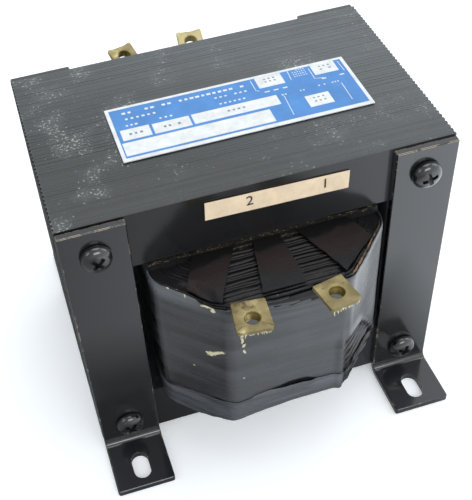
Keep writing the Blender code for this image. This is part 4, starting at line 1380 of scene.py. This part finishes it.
def add_wrap(bm, outline, floors, sway):
    """Wrap that shows as a rim above the film and as a lipped band below it."""
    def band(share, depth, drop=0.0):
        def place(x, y):
            bottom = on_front(x, y, BAND_EDGES, 2, COIL_BOTTOM)
            lip = on_front(x, y, BAND_EDGES, 1, 40.9 * MM) - 0.3 * MM * pocket_share(x, y, 0.03)
            lip += 0.15 * MM * wave(x, y, 0.0, 2.2 * MM, 17)
            z = bottom + (lip - bottom) * share - drop
            lean = -0.35 * MM + 0.33 * MM * ease(share * 1.6)
            lean += gap_of(x, y) * ease((share - 0.35) / 0.65)
            return lean - depth, z
        return place

    def upper(drop, depth):
        return lambda x, y: (-depth, ragged_top(x, y, 2) - drop)

    rows = [band(row / 22, 0.0) for row in range(23)]
    rows += [band(1.0, 0.1 * MM, -0.05 * MM), band(1.0, 0.22 * MM), band(1.0, 0.3 * MM, 2.0 * MM),
             band(1.0, 1.2 * MM, 2.6 * MM)]
    rows += [upper(drop * MM, 0.98 * MM) for drop in (30.0, 6.0, 4.0, 3.0, 2.2, 1.5, 0.9, 0.4)]
    rows += [upper(0.12 * MM, 1.02 * MM), upper(0.0, 1.25 * MM), upper(0.3 * MM, 1.5 * MM),
             upper(4 * MM, 1.55 * MM), band(0.5, 1.5 * MM), band(0.0, 1.3 * MM)]
    add_skin(bm, [sheet_loop(outline, floors, sway, row) for row in rows], closed=True)


def make_wrap():
    """Outer wrap and the glossy film over it."""
    looks = bpy.context.scene.coil_looks
    outline = Outline(looks.step)
    floors = lug_floors()
    bm = bmesh.new()
    add_film(bm, outline, floors, looks.film_wave)
    film = piece_from("outer_film_skin", bm)
    smooth(film.data, SOFT)
    # Darker, duller film: painted shade in the pocket's creases and under the rim between the lugs.
    painted_shade_film = winding_material("black_film_painted_shade", linear("#0e0e0f"), linear("#6b5138"),
                               show=0.1, scale=260.0, gloss=0.16)
    for face in film.data.polygons:
        x, y, z = face.center
        strip = 84.3 * MM + 0.8 * MM * wave(x, 0.0, 0.0, 5 * MM, 3) - 0.1 * x
        under_rim = y < -60 * MM and -12 * MM < x < 9.5 * MM and z > strip
        face.material_index = int(under_rim or pocket_share(x, y, z) > 0.5)
    seat(film, ["outer_film"],
         [film_material("black_varnished_film", looks.film), painted_shade_film])
    bm = bmesh.new()
    add_wrap(bm, outline, floors, looks.film_wave)
    wrap = piece_from("outer_wrap_skin", bm)
    smooth(wrap.data, SOFT)
    for face in wrap.data.polygons:
        x, y, z = face.center
        # Darker, duller varnish on the rim's sides: painted shade of the groove above the film.
        if z > 80 * MM:
            face.material_index = 2 if face.normal.z > 0.5 else 1
            if x > 21 * MM and y < -47 * MM:
                face.material_index = 3
        elif pocket_share(x, y, z) > 0.5:
            face.material_index = 4
    # The lower band takes a paler copy of the film.
    seat(wrap, ["outer_wrap"], [
        film_material("paler_varnished_band", linear("#34363b")),
        winding_material("rim_varnish_painted_shade", looks.varnish, linear("#4d4236"), show=0.0,
                         scale=400.0, gloss=0.22),
        winding_material("torn_wrap_edge", linear("#1b1917"), linear("#b5a888"), show=0.2,
                         scale=800.0),
        winding_material("torn_kraft_wrap", linear("#1c1613"), linear("#a27a50"), show=0.32,
                         scale=520.0), painted_shade_film])


def make_tapes():
    """Tape strips across the winding ends, from the core's face down over the rim."""
    finish = tape_material(bpy.context.scene.coil_looks.tape)
    for node in [f"end_tape_{end}_{side}" for end in ("front", "rear")
                 for side in ("left", "middle", "right")]:
        bm = merged_solid(node)
        low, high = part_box(node)
        inner = min(abs(low.y), abs(high.y))
        for vert in bm.verts:
            if abs(vert.co.y) < inner + 0.2 * MM:
                vert.co.y -= math.copysign(1.1 * MM, vert.co.y)
        for axis in (0, 1):
            add_cuts(bm, axis, low, high, int((high[axis] - low[axis]) / (0.7 * MM)))
        for vert in bm.verts:
            x, y, z = vert.co
            sag = 0.14 * MM * wave(x, y * 1.7, 0.0, 8 * MM, 12)
            sag += 0.03 * MM * wave(x, y, 0.0, 1.8 * MM, 15)
            rim = max(0.0, (abs(y) - 63.0 * MM) / (4 * MM))
            vert.co.x += 0.35 * MM * wave(x * 0.2, y, 0.0, 3 * MM, 19)
            vert.co.z = z + sag - 0.5 * MM * min(1.0, rim) ** 2 - sink(x, y)
        piece = piece_from(f"{node}_strip", bm)
        smooth(piece.data, CLOTH)
        seat(piece, [node], [finish])


# Node, middle of the tail and of the hole in plan, turn of the tongue and its upward tilt in
# degrees, then the tongue's width at the root and at the tip, depth of the hollow in its free
# edge, and reach from the hole to the root and to the tip.
LUGS = (
    ("lug_front_left", (-15.0, -64.965), (-14.9, -74.3), -7.0, 0.0, (11.2, 11.9, 0.0, 7.4, 5.5)),
    ("lug_front_right", (13.0, -64.965), (13.2, -73.2), 11.0, 0.0, (10.7, 11.0, 0.0, 5.9, 6.1)),
    ("lug_rear_left", (-16.75, 64.952), (-19.09, 74.343), -14.0, 22.0,
     (11.0, 10.3, 0.8, 11.176, 5.5)),
    ("lug_rear_right", (8.55, 64.965), (9.394, 74.607), 5.0, 22.0,
     (11.0, 10.3, 0.8, 11.176, 5.5)),
)


def lug_way(hole, turn):
    """Outward direction of a lug in plan."""
    turn = math.radians(turn)
    return Vector((math.sin(turn), math.copysign(math.cos(turn), hole[1]), 0.0))


def lug_outline(scale, root_scale, shape, seed):
    """Outline of a lug's tongue about its hole, sampled by angle, its free edge uneven."""
    root_width, tip_width, hollow, to_root, to_tip = (size * MM for size in shape)
    half = root_width / 2 + scale
    tip = to_tip + scale
    root = -to_root - root_scale
    points = []
    for across, up in around(LUG_SIDES, 0.5):
        reach = min(half / abs(across), (tip if up > 0 else root) / up)
        x, y = across * reach, up * reach
        x *= 1 + (y - root) / (tip - root) * (tip_width / root_width - 1)
        if y > tip - 0.4 * MM:
            y -= hollow * (1 - (x / half) ** 2)
            y -= 0.14 * MM * (1 - wave(x, seed, 0.0, 1.6 * MM, seed))
            y -= 0.5 * MM * max(0.0, abs(x) / half - 0.86) / 0.14
        points.append(Vector((x, y)))
    return points


def add_fringe(bm, edge, seed):
    """Ragged fibres left of the wrap that hang from the outer edge of a lug."""
    for i in range(26):
        a, b, c = (wave(i * 1.7, seed * 5.3, k * 3.1, 1.0, 30) for k in range(3))
        if c < -0.25:
            continue
        across = (-4.6 + 9.8 * i / 25 + 0.9 * a) * MM
        length = (0.2 + 1.1 * abs(b) + (0.9 if i in (19, 24) else 0.0)) * MM
        half = (0.15 + 0.4 * abs(c)) * MM
        tip = Vector((across + a * 1.2 * MM, edge + 0.1 * MM + 0.2 * b * MM, -length))
        loops = []
        for middle, reach in ((Vector((across, edge, 0.5 * MM * (1 + c))), half),
                              (tip, half * 0.3)):
            loops.append([middle + Vector((x * reach, y * 0.1 * MM, 0.0)) for x, y in SQUARE])
        known = set(bm.faces)
        add_skin(bm, loops, caps=True)
        for face in set(bm.faces) - known:
            face.material_index = 2


def tongue_loops(looks, shape, bend, seed):
    """Sections of a lug's tongue, from the foot of its tapped collar round and back to it."""
    hole = looks.hole_diameter / 2
    bevel = looks.rim_width
    top = LUG_THICKNESS
    edge = 0.22 * MM
    # The hole was drawn down before it was tapped, so a collar hangs below the tongue.
    collar = -2.2 * MM
    turns = 17

    def circle(radius, z):
        return [Vector((radius * x, radius * y, z)) for x, y in around(LUG_SIDES, 0.5)]

    def rim(scale, root_scale, z):
        return [Vector((*point, z)) for point in lug_outline(scale, root_scale, shape, seed)]

    loops = [circle(hole, collar)]
    for turn in range(turns):
        z = collar + 0.1 * MM + (top + 1.4 * MM) * turn / (turns - 1)
        loops.append(circle(hole + (0.14 * MM if turn % 2 else 0.0), z))
    loops += [circle(hole + bevel * (1 - math.cos(t)), top - 0.5 * MM * (1 - math.sin(t)))
              for t in (0.1, 0.4, 0.7, 1.0, 1.3)]
    loops += [circle(hole + bevel + 0.1 * MM, top), rim(-edge, -bend, top),
              rim(-0.3 * edge, -0.3 * bend, top - 0.3 * edge), rim(0.0, 0.0, top - edge * 3),
              rim(0.0, 0.0, edge), rim(-0.3 * edge, -0.3 * edge, 0.3 * edge),
              rim(-edge, -edge, 0.0), circle(hole + 0.6 * MM, 0.0),
              circle(hole + 0.5 * MM, collar)]
    return loops


def lug_matrix(middle, turn, tilt, to_root):
    """Place of a tongue that was made along +Y from its root: tilted, turned and on its seat."""
    out = lug_way(middle, turn)
    across = Vector((out.y, -out.x, 0.0))
    along = out * math.cos(tilt) + Vector((0.0, 0.0, math.sin(tilt)))
    matrix = Matrix((across, along, across.cross(along))).transposed().to_4x4()
    rise = math.sin(tilt) * (to_root * MM - LUG_THICKNESS)
    matrix.translation = (middle[0] * MM, middle[1] * MM, LUG_SEAT + rise)
    return matrix


def add_tail(bm, tail, flat):
    """Tail of a lug between the windings and the wrap; a flat lug has a strap to its root."""
    x, y = tail[0] * MM, tail[1] * MM
    half_width = 2.5 * MM
    depth = 13.9 * MM
    strap = 1.5 * MM
    under_varnish = -0.55 * MM
    cover = under_varnish if flat else 0.5 * MM
    add_box(bm, (x - half_width, y - LUG_THICKNESS / 2, LUG_SEAT - depth),
            (x + half_width, y + LUG_THICKNESS / 2, LUG_SEAT + cover))
    if flat:
        # The strap stays under the varnish, with a riser to the tongue at its outer end.
        for outer, inner, ceiling in ((-67.8 * MM, -64.2 * MM, under_varnish),
                                      (-67.9 * MM, -67.5 * MM, 0.4 * MM)):
            add_box(bm, (x - half_width, outer, LUG_SEAT - strap),
                    (x + half_width, inner, LUG_SEAT + ceiling))


def make_lugs():
    """Brass terminal lugs with their tapped holes."""
    looks = bpy.context.scene.terminal_looks
    # The brass in the tapped holes is darker, as painted shade in the holes.
    finishes = [brass_material("tarnished_brass", looks.brass),
                brass_material("tapped_brass_painted_shade", linear("#7f7038")),
                printed_material("dried_glass_cloth_fibre", linear("#d9d0ac"), 0.7, 900.0)]
    tapped = looks.hole_diameter / 2 + 0.4 * looks.rim_width
    for seed, (node, tail, middle, turn, tilt, shape) in enumerate(LUGS):
        flat = tilt == 0.0
        bend = (0.6 if flat else 1.2) * MM
        bm = bmesh.new()
        add_skin(bm, tongue_loops(looks, shape, bend, seed + 1), closed=True)
        for face in bm.faces:
            if face.calc_center_median().xy.length < tapped:
                face.material_index = 1
        if flat:
            add_fringe(bm, (shape[4] - 0.3) * MM, seed)
        bmesh.ops.transform(bm, matrix=lug_matrix(middle, turn, math.radians(tilt), shape[3]),
                            verts=bm.verts)
        add_tail(bm, tail, flat)
        piece = piece_from(f"{node}_brass", bm)
        smooth(piece.data)
        seat(piece, [node], finishes)


# Boxes of the plate, in millimetres from the object's middle: left, front, right, rear.
PLATE_BOXES = (
    (-36.2, -7.5, -26.2, -1.7), (-25.2, -7.5, -12.3, -2.0), (-11.4, -7.3, 19.2, -1.9),
    (-37.0, -15.6, 14.4, -8.7), (15.2, 3.6, 24.7, 9.9), (36.0, 3.9, 44.8, 10.3),
    (27.8, -12.8, 36.4, -6.4),
)
# Printed lines of the plate: from, to, in millimetres.
PLATE_LINES = (
    (13.6, 9.3, 13.6, 3.1), (13.6, 3.1, 14.6, 2.2), (27.6, 10.2, 27.2, 4.4),
    (35.1, 8.6, 35.0, 2.2), (35.0, 2.2, 38.3, 1.5), (21.6, -3.4, 21.0, -14.5),
    (42.6, -3.4, 42.4, -13.6), (46.2, 9.0, 46.4, 2.8),
)
# Rows of small dashes, in millimetres: start, distance back, end, height and pitch; their colour.
PLATE_ROWS = (
    (-33.8, 7.2, 10.8, 1.25, 2.0, "white"), (-33.5, 3.8, -21.8, 1.1, 1.7, "white"),
    (-34.0, 0.2, -29.2, 1.0, 1.6, "white"), (-22.4, 0.2, -15.0, 0.9, 1.5, "white"),
    (-0.9, 0.3, 9.2, 0.9, 1.5, "white"), (-1.6, 4.1, 11.0, 0.9, 1.6, "white"),
    (20.8, -2.7, 29.6, 0.8, 1.0, "white"), (34.4, -2.2, 42.4, 0.8, 1.0, "white"),
    (15.4, 1.0, 25.2, 0.7, 3.2, "white"), (36.4, 1.1, 46.4, 0.7, 3.2, "white"),
    (28.6, 9.4, 33.8, 0.5, 0.8, "white"), (28.6, 8.2, 33.8, 0.5, 0.8, "white"),
    (28.6, 7.0, 33.8, 0.5, 0.8, "white"), (28.6, 5.8, 33.8, 0.5, 0.8, "white"),
    (-34.0, -4.6, -28.4, 1.3, 1.5, "grey"), (-22.0, -4.8, -15.4, 1.3, 1.5, "grey"),
    (0.4, -4.5, 7.6, 1.0, 1.5, "grey"),
    (17.6, 8.2, 22.6, 0.8, 1.3, "grey"), (17.6, 6.6, 22.6, 0.8, 1.3, "grey"),
    (38.2, 8.4, 43.2, 0.8, 1.3, "grey"), (38.2, 6.6, 43.2, 0.8, 1.3, "grey"),
    (29.8, -8.2, 34.8, 0.8, 1.3, "grey"), (29.8, -10.2, 34.8, 0.8, 1.3, "grey"),
)


def add_box(bm, low, high):
    """Closed block between two corners."""
    corners = ((0, 0), (1, 0), (1, 1), (0, 1))
    loops = [[Vector((low[0] + (high[0] - low[0]) * i, low[1] + (high[1] - low[1]) * j, z))
              for i, j in corners] for z in (low[2], high[2])]
    add_skin(bm, loops, caps=True)


def add_dashes(bm, rows, ceiling, floor):
    """Rows of short printed dashes of uneven length, with gaps."""
    for number, (x0, y, x1, height, pitch) in rows:
        count = max(1, int((x1 - x0) / pitch))
        for mark in range(count):
            jitter = wave(mark * 1.7, number * 2.3, 0.0, 1.0, 4)
            if jitter < -0.35:
                continue
            x = x0 + (x1 - x0) * (mark + 0.5) / count
            half = pitch * (0.55 + 0.25 * jitter) / 2
            add_box(bm, ((x - half) * MM, (y - 0.4 * height) * MM, floor),
                    ((x + half) * MM, (y + 0.4 * height) * MM, ceiling))


def make_plate():
    """Printed aluminium plate on top of the core."""
    looks = bpy.context.scene.plate_looks
    low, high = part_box("nameplate")
    top = high.z - 3.2 * looks.ink_height
    upper = top + 2 * looks.ink_height
    white = printed_material("bare_aluminium_border", looks.white, 0.34, 260.0)
    blue = printed_material("blue_plate_print", looks.blue, 0.3, 90.0)
    grey = printed_material("pale_grey_print", linear("#8d959b"), 0.5, 300.0)
    bm = bmesh.new()
    add_box(bm, low, (high.x, high.y, top))
    body = piece_from("plate_body", bm)
    flat_sides(bevelled(body, 0.09 * MM, segments=2))
    seat(body, ["nameplate"], [white])
    bm = bmesh.new()
    rim = 1.3 * MM
    add_box(bm, (low.x + rim, low.y + rim * 1.2, top - 0.05 * MM),
            (high.x - rim, high.y - rim, top + looks.ink_height))
    seat(piece_from("plate_ground", bm), (), [blue])
    bm = bmesh.new()
    for left, front, right, rear in PLATE_BOXES:
        add_box(bm, (left * MM, front * MM, top), (right * MM, rear * MM, upper))
    for x0, y0, x1, y1 in PLATE_LINES:
        start, stop = Vector((x0, y0)) * MM, Vector((x1, y1)) * MM
        side = (stop - start).normalized().orthogonal() * 0.11 * MM
        ring = (start - side, stop - side, stop + side, start + side)
        add_skin(bm, [[Vector((*p, z)) for p in ring] for z in (top, upper)], caps=True)
    rows = {"white": [], "grey": []}
    for number, (*row, kind) in enumerate(PLATE_ROWS):
        rows[kind].append((number, row))
    add_dashes(bm, rows["white"], upper, top)
    seat(piece_from("plate_white_print", bm), (), [white])
    bm = bmesh.new()
    add_dashes(bm, rows["grey"], upper + looks.ink_height, top)
    seat(piece_from("plate_grey_print", bm), (), [grey])


# Plain numbers of the two front terminals: text, middle across and up, in millimetres.
LABEL_NUMBERS = (("2", -4.4, 107.2), ("1", 21.1, 106.5))


def number_mesh(text):
    """Thin mesh of a printed number, upright and facing the front."""
    curve = bpy.data.curves.new(f"number_{text}", "FONT")
    curve.body = text
    curve.size = 5.4 * MM
    curve.extrude = 0.02 * MM
    curve.align_x = "CENTER"
    curve.align_y = "CENTER"
    curve.resolution_u = 4
    number = link_object("number", curve)
    graph = bpy.context.evaluated_depsgraph_get()
    mesh = bpy.data.meshes.new_from_object(number.evaluated_get(graph))
    bpy.data.objects.remove(number)
    mesh.transform(Matrix.Rotation(math.pi / 2, 4, "X"))
    mesh.materials.clear()
    return mesh


def make_label():
    """Paper label with the numbers of the two front terminals."""
    looks = bpy.context.scene.plate_looks
    paper = printed_material("creased_label_paper", looks.paper, 0.62, 160.0)
    ink = printed_material("brown_black_ink", linear("#332a26"), 0.6, 300.0)
    low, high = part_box("terminal_label")
    bm = merged_solid("terminal_label")
    for axis, steps in ((0, 60), (2, 9)):
        add_cuts(bm, axis, low, high, steps)
    for vert in bm.verts:
        vert.co.y -= 0.06 * MM * (1 + wave(vert.co.x, 0.0, vert.co.z, 7 * MM, 2))
    sheet = piece_from("label_sheet", bm)
    smooth(sheet.data, SOFT)
    seat(sheet, ["terminal_label"], [paper])
    for text, across, up in LABEL_NUMBERS:
        mesh = number_mesh(text)
        mesh.transform(Matrix.Translation((across * MM, low.y - 0.15 * MM, up * MM)))
        seat(link_object(f"label_number_{text}", mesh), (), [ink])


def add_lamp(name, place, size, power):
    """Soft rectangular lamp aimed at the middle of the object."""
    lamp = bpy.data.lights.new(name, "AREA")
    lamp.shape = "RECTANGLE"
    lamp.size, lamp.size_y = size
    lamp.energy = power
    holder = link_object(name, lamp)
    holder.location = place
    aim = Vector((0.0, 0.0, 0.06)) - Vector(place)
    holder.rotation_euler = aim.to_track_quat("-Z", "Y").to_euler()


def add_camera(looks):
    """Camera at the photograph's viewing angle."""
    camera = bpy.data.cameras.new("camera")
    camera.lens = looks.lens
    camera.sensor_width = 36.0
    camera.shift_x, camera.shift_y = looks.shift
    camera.clip_start = 0.01
    holder = link_object("camera", camera)
    holder.location = looks.camera_place
    holder.rotation_euler = looks.camera_turn
    bpy.context.scene.camera = holder


def floor_material(looks):
    """Pale matt table top: white to the camera, shaded to the gloss of the object."""
    material, tree, place = blank_material("pale_table_top")
    plain = add_node(tree, "ShaderNodeBsdfDiffuse", {"Color": looks.floor_colour})
    # The camera sees a nearly white floor, with painted shade in front, that keeps the object's
    # shadow.
    lit = add_node(
        tree, "ShaderNodeBsdfDiffuse", {"Color": shaded(looks.floor_colour, looks.floor_lit)})
    across = add_node(tree, "ShaderNodeSeparateXYZ", {"Vector": place})
    glow = add_node(
        tree, "ShaderNodeMapRange",
        {"Value": across.outputs["Y"], "From Min": -0.14, "From Max": -0.08,
         "To Min": looks.floor_glow - 0.25, "To Max": looks.floor_glow})
    white = add_node(tree, "ShaderNodeEmission", {"Color": looks.floor_colour, "Strength": glow})
    seen = add_node(tree, "ShaderNodeAddShader", {0: lit, 1: white})
    # The dark gloss of the object shows a floor that is brighter on the right and shaded within
    # 30 mm of the object.
    away = []
    for axis, edge in (("X", 0.06), ("Y", 0.075)):
        off = add_node(tree, "ShaderNodeMath", {0: across.outputs[axis]}, operation="ABSOLUTE")
        away.append(add_node(tree, "ShaderNodeMath", {0: off, 1: edge}, operation="SUBTRACT"))
    farther = add_node(tree, "ShaderNodeMath", {0: away[0], 1: away[1]}, operation="MAXIMUM")
    near = add_node(
        tree, "ShaderNodeMapRange", {"Value": farther, "From Max": 0.03, "To Min": 0.25})
    level = add_node(
        tree, "ShaderNodeMapRange",
        {"Value": across.outputs["X"], "From Min": -0.09, "From Max": 0.15, "To Min": 0.42,
         "To Max": 1.65})
    level = add_node(tree, "ShaderNodeMath", {0: level, 1: near}, operation="MULTIPLY")
    mirrored = add_node(tree, "ShaderNodeEmission", {"Color": linear("#eef4fa"), "Strength": level})
    ray = add_node(tree, "ShaderNodeLightPath")
    glossy = add_node(
        tree, "ShaderNodeMixShader", {0: ray.outputs["Is Glossy Ray"], 1: plain, 2: mirrored})
    mixed = add_node(
        tree, "ShaderNodeMixShader", {0: ray.outputs["Is Camera Ray"], 1: glossy, 2: seen})
    add_node(tree, "ShaderNodeOutputMaterial", {"Surface": mixed})
    return material


def light_room(looks):
    """Plain light from the room, brighter from the right, and a white background."""
    world = bpy.data.worlds.new("room")
    bpy.context.scene.world = world
    world.use_nodes = True
    tree = world.node_tree
    tree.nodes.clear()
    direction = add_node(tree, "ShaderNodeTexCoord").outputs["Generated"]
    parts = add_node(tree, "ShaderNodeSeparateXYZ", {"Vector": direction})
    side = add_node(
        tree, "ShaderNodeMath", {0: parts.outputs["Z"], 1: -0.35, 2: parts.outputs["X"]},
        operation="MULTIPLY_ADD")
    bright = add_node(
        tree, "ShaderNodeMapRange",
        {"Value": side, "From Min": -1.0, "From Max": 0.8, "To Min": looks.room_level * 0.55,
         "To Max": looks.room_level * 1.55})
    room = add_node(tree, "ShaderNodeBackground", {"Color": linear("#f4f8fc"), "Strength": bright})
    white = add_node(tree, "ShaderNodeBackground", {"Color": (1.0, 1.0, 1.0, 1.0)})
    ray = add_node(tree, "ShaderNodeLightPath")
    mixed = add_node(
        tree, "ShaderNodeMixShader", {0: ray.outputs["Is Camera Ray"], 1: room, 2: white})
    add_node(tree, "ShaderNodeOutputWorld", {"Surface": mixed})


def make_stage():
    """Camera, pale floor, soft lamps and room light."""
    looks = bpy.context.scene.stage_looks
    add_camera(looks)
    bm = bmesh.new()
    bmesh.ops.create_grid(bm, x_segments=1, y_segments=1, size=4.0)
    mesh = bpy.data.meshes.new("floor")
    bm.to_mesh(mesh)
    bm.free()
    mesh.materials.append(floor_material(looks))
    floor = link_object("floor", mesh)
    light_room(looks)
    add_lamp("overhead_box", (0.1, 0.15, 1.15), (0.8, 0.8), looks.overhead_power)
    add_lamp("front_box", (0.1, -1.0, 0.75), (0.7, 0.35), looks.front_power)
    add_lamp("left_box", (-0.85, -0.35, 0.75), (0.35, 0.5), looks.side_power)
    add_lamp("right_box", (0.9, -0.1, 0.7), (0.4, 0.6), looks.side_power)
    bpy.context.scene.view_settings.view_transform = "Standard"


class TRANSFORMER_OT_stage(Operator):
    """Set up the camera, floor and light"""
    bl_idname = "transformer.stage"
    bl_label = "Stage"

    def execute(self, context):
        make_stage()
        return {"FINISHED"}


class TRANSFORMER_OT_laminations(Operator):
    """Stack the interleaved sheets of the core"""
    bl_idname = "transformer.laminations"
    bl_label = "Laminations"

    def execute(self, context):
        make_laminations()
        return {"FINISHED"}


class TRANSFORMER_OT_brackets(Operator):
    """Make the four mounting brackets"""
    bl_idname = "transformer.brackets"
    bl_label = "Brackets"

    def execute(self, context):
        make_brackets()
        return {"FINISHED"}


class TRANSFORMER_OT_fasteners(Operator):
    """Make the screws, lock washers and nuts"""
    bl_idname = "transformer.fasteners"
    bl_label = "Fasteners"

    def execute(self, context):
        make_fasteners()
        return {"FINISHED"}


class TRANSFORMER_OT_winding(Operator):
    """Make the bobbin tube and the winding layers"""
    bl_idname = "transformer.winding"
    bl_label = "Winding"

    def execute(self, context):
        make_winding()
        return {"FINISHED"}


class TRANSFORMER_OT_wrap(Operator):
    """Make the outer wrap and film"""
    bl_idname = "transformer.wrap"
    bl_label = "Wrap and Film"

    def execute(self, context):
        make_wrap()
        return {"FINISHED"}


class TRANSFORMER_OT_tapes(Operator):
    """Lay the tape strips over the coil's ends"""
    bl_idname = "transformer.tapes"
    bl_label = "End Tapes"

    def execute(self, context):
        make_tapes()
        return {"FINISHED"}


class TRANSFORMER_OT_lugs(Operator):
    """Make the brass terminal lugs"""
    bl_idname = "transformer.lugs"
    bl_label = "Lugs"

    def execute(self, context):
        make_lugs()
        return {"FINISHED"}


class TRANSFORMER_OT_plate(Operator):
    """Make the printed plate"""
    bl_idname = "transformer.plate"
    bl_label = "Plate"

    def execute(self, context):
        make_plate()
        return {"FINISHED"}


class TRANSFORMER_OT_label(Operator):
    """Make the paper label"""
    bl_idname = "transformer.label"
    bl_label = "Label"

    def execute(self, context):
        make_label()
        return {"FINISHED"}


OPERATORS = (TRANSFORMER_OT_stage, TRANSFORMER_OT_laminations, TRANSFORMER_OT_brackets,
             TRANSFORMER_OT_fasteners, TRANSFORMER_OT_winding, TRANSFORMER_OT_wrap,
             TRANSFORMER_OT_tapes, TRANSFORMER_OT_lugs, TRANSFORMER_OT_plate,
             TRANSFORMER_OT_label)


class TRANSFORMER_PT_looks(Panel):
    """Pieces and settings of the control transformer"""
    bl_idname = "TRANSFORMER_PT_looks"
    bl_label = "Control Transformer"
    bl_space_type = "VIEW_3D"
    bl_region_type = "UI"
    bl_category = "Transformer"

    def draw(self, context):
        for operator in OPERATORS:
            self.layout.operator(operator.bl_idname)
        for owner, group in SETTINGS.items():
            looks = getattr(context.scene, owner)
            for name in group.__annotations__:
                self.layout.prop(looks, name)


SETTINGS = {"stage_looks": StageSettings, "core_looks": CoreSettings,
            "bracket_looks": BracketSettings, "fastener_looks": FastenerSettings,
            "coil_looks": CoilSettings, "terminal_looks": TerminalSettings,
            "plate_looks": PlateSettings}


def register():
    """Register the settings, operators and panel."""
    for owner, group in SETTINGS.items():
        bpy.utils.register_class(group)
        setattr(bpy.types.Scene, owner, PointerProperty(type=group))
    for operator in OPERATORS:
        bpy.utils.register_class(operator)
    bpy.utils.register_class(TRANSFORMER_PT_looks)


def unregister():
    """Take the settings, operators and panel away again."""
    bpy.utils.unregister_class(TRANSFORMER_PT_looks)
    for operator in reversed(OPERATORS):
        bpy.utils.unregister_class(operator)
    for owner, group in SETTINGS.items():
        delattr(bpy.types.Scene, owner)
        bpy.utils.unregister_class(group)


def main():
    """Make every piece in order."""
    register()
    for operator in OPERATORS:
        group, name = operator.bl_idname.split(".")
        getattr(getattr(bpy.ops, group), name)()


if __name__ == "__main__":
    main()
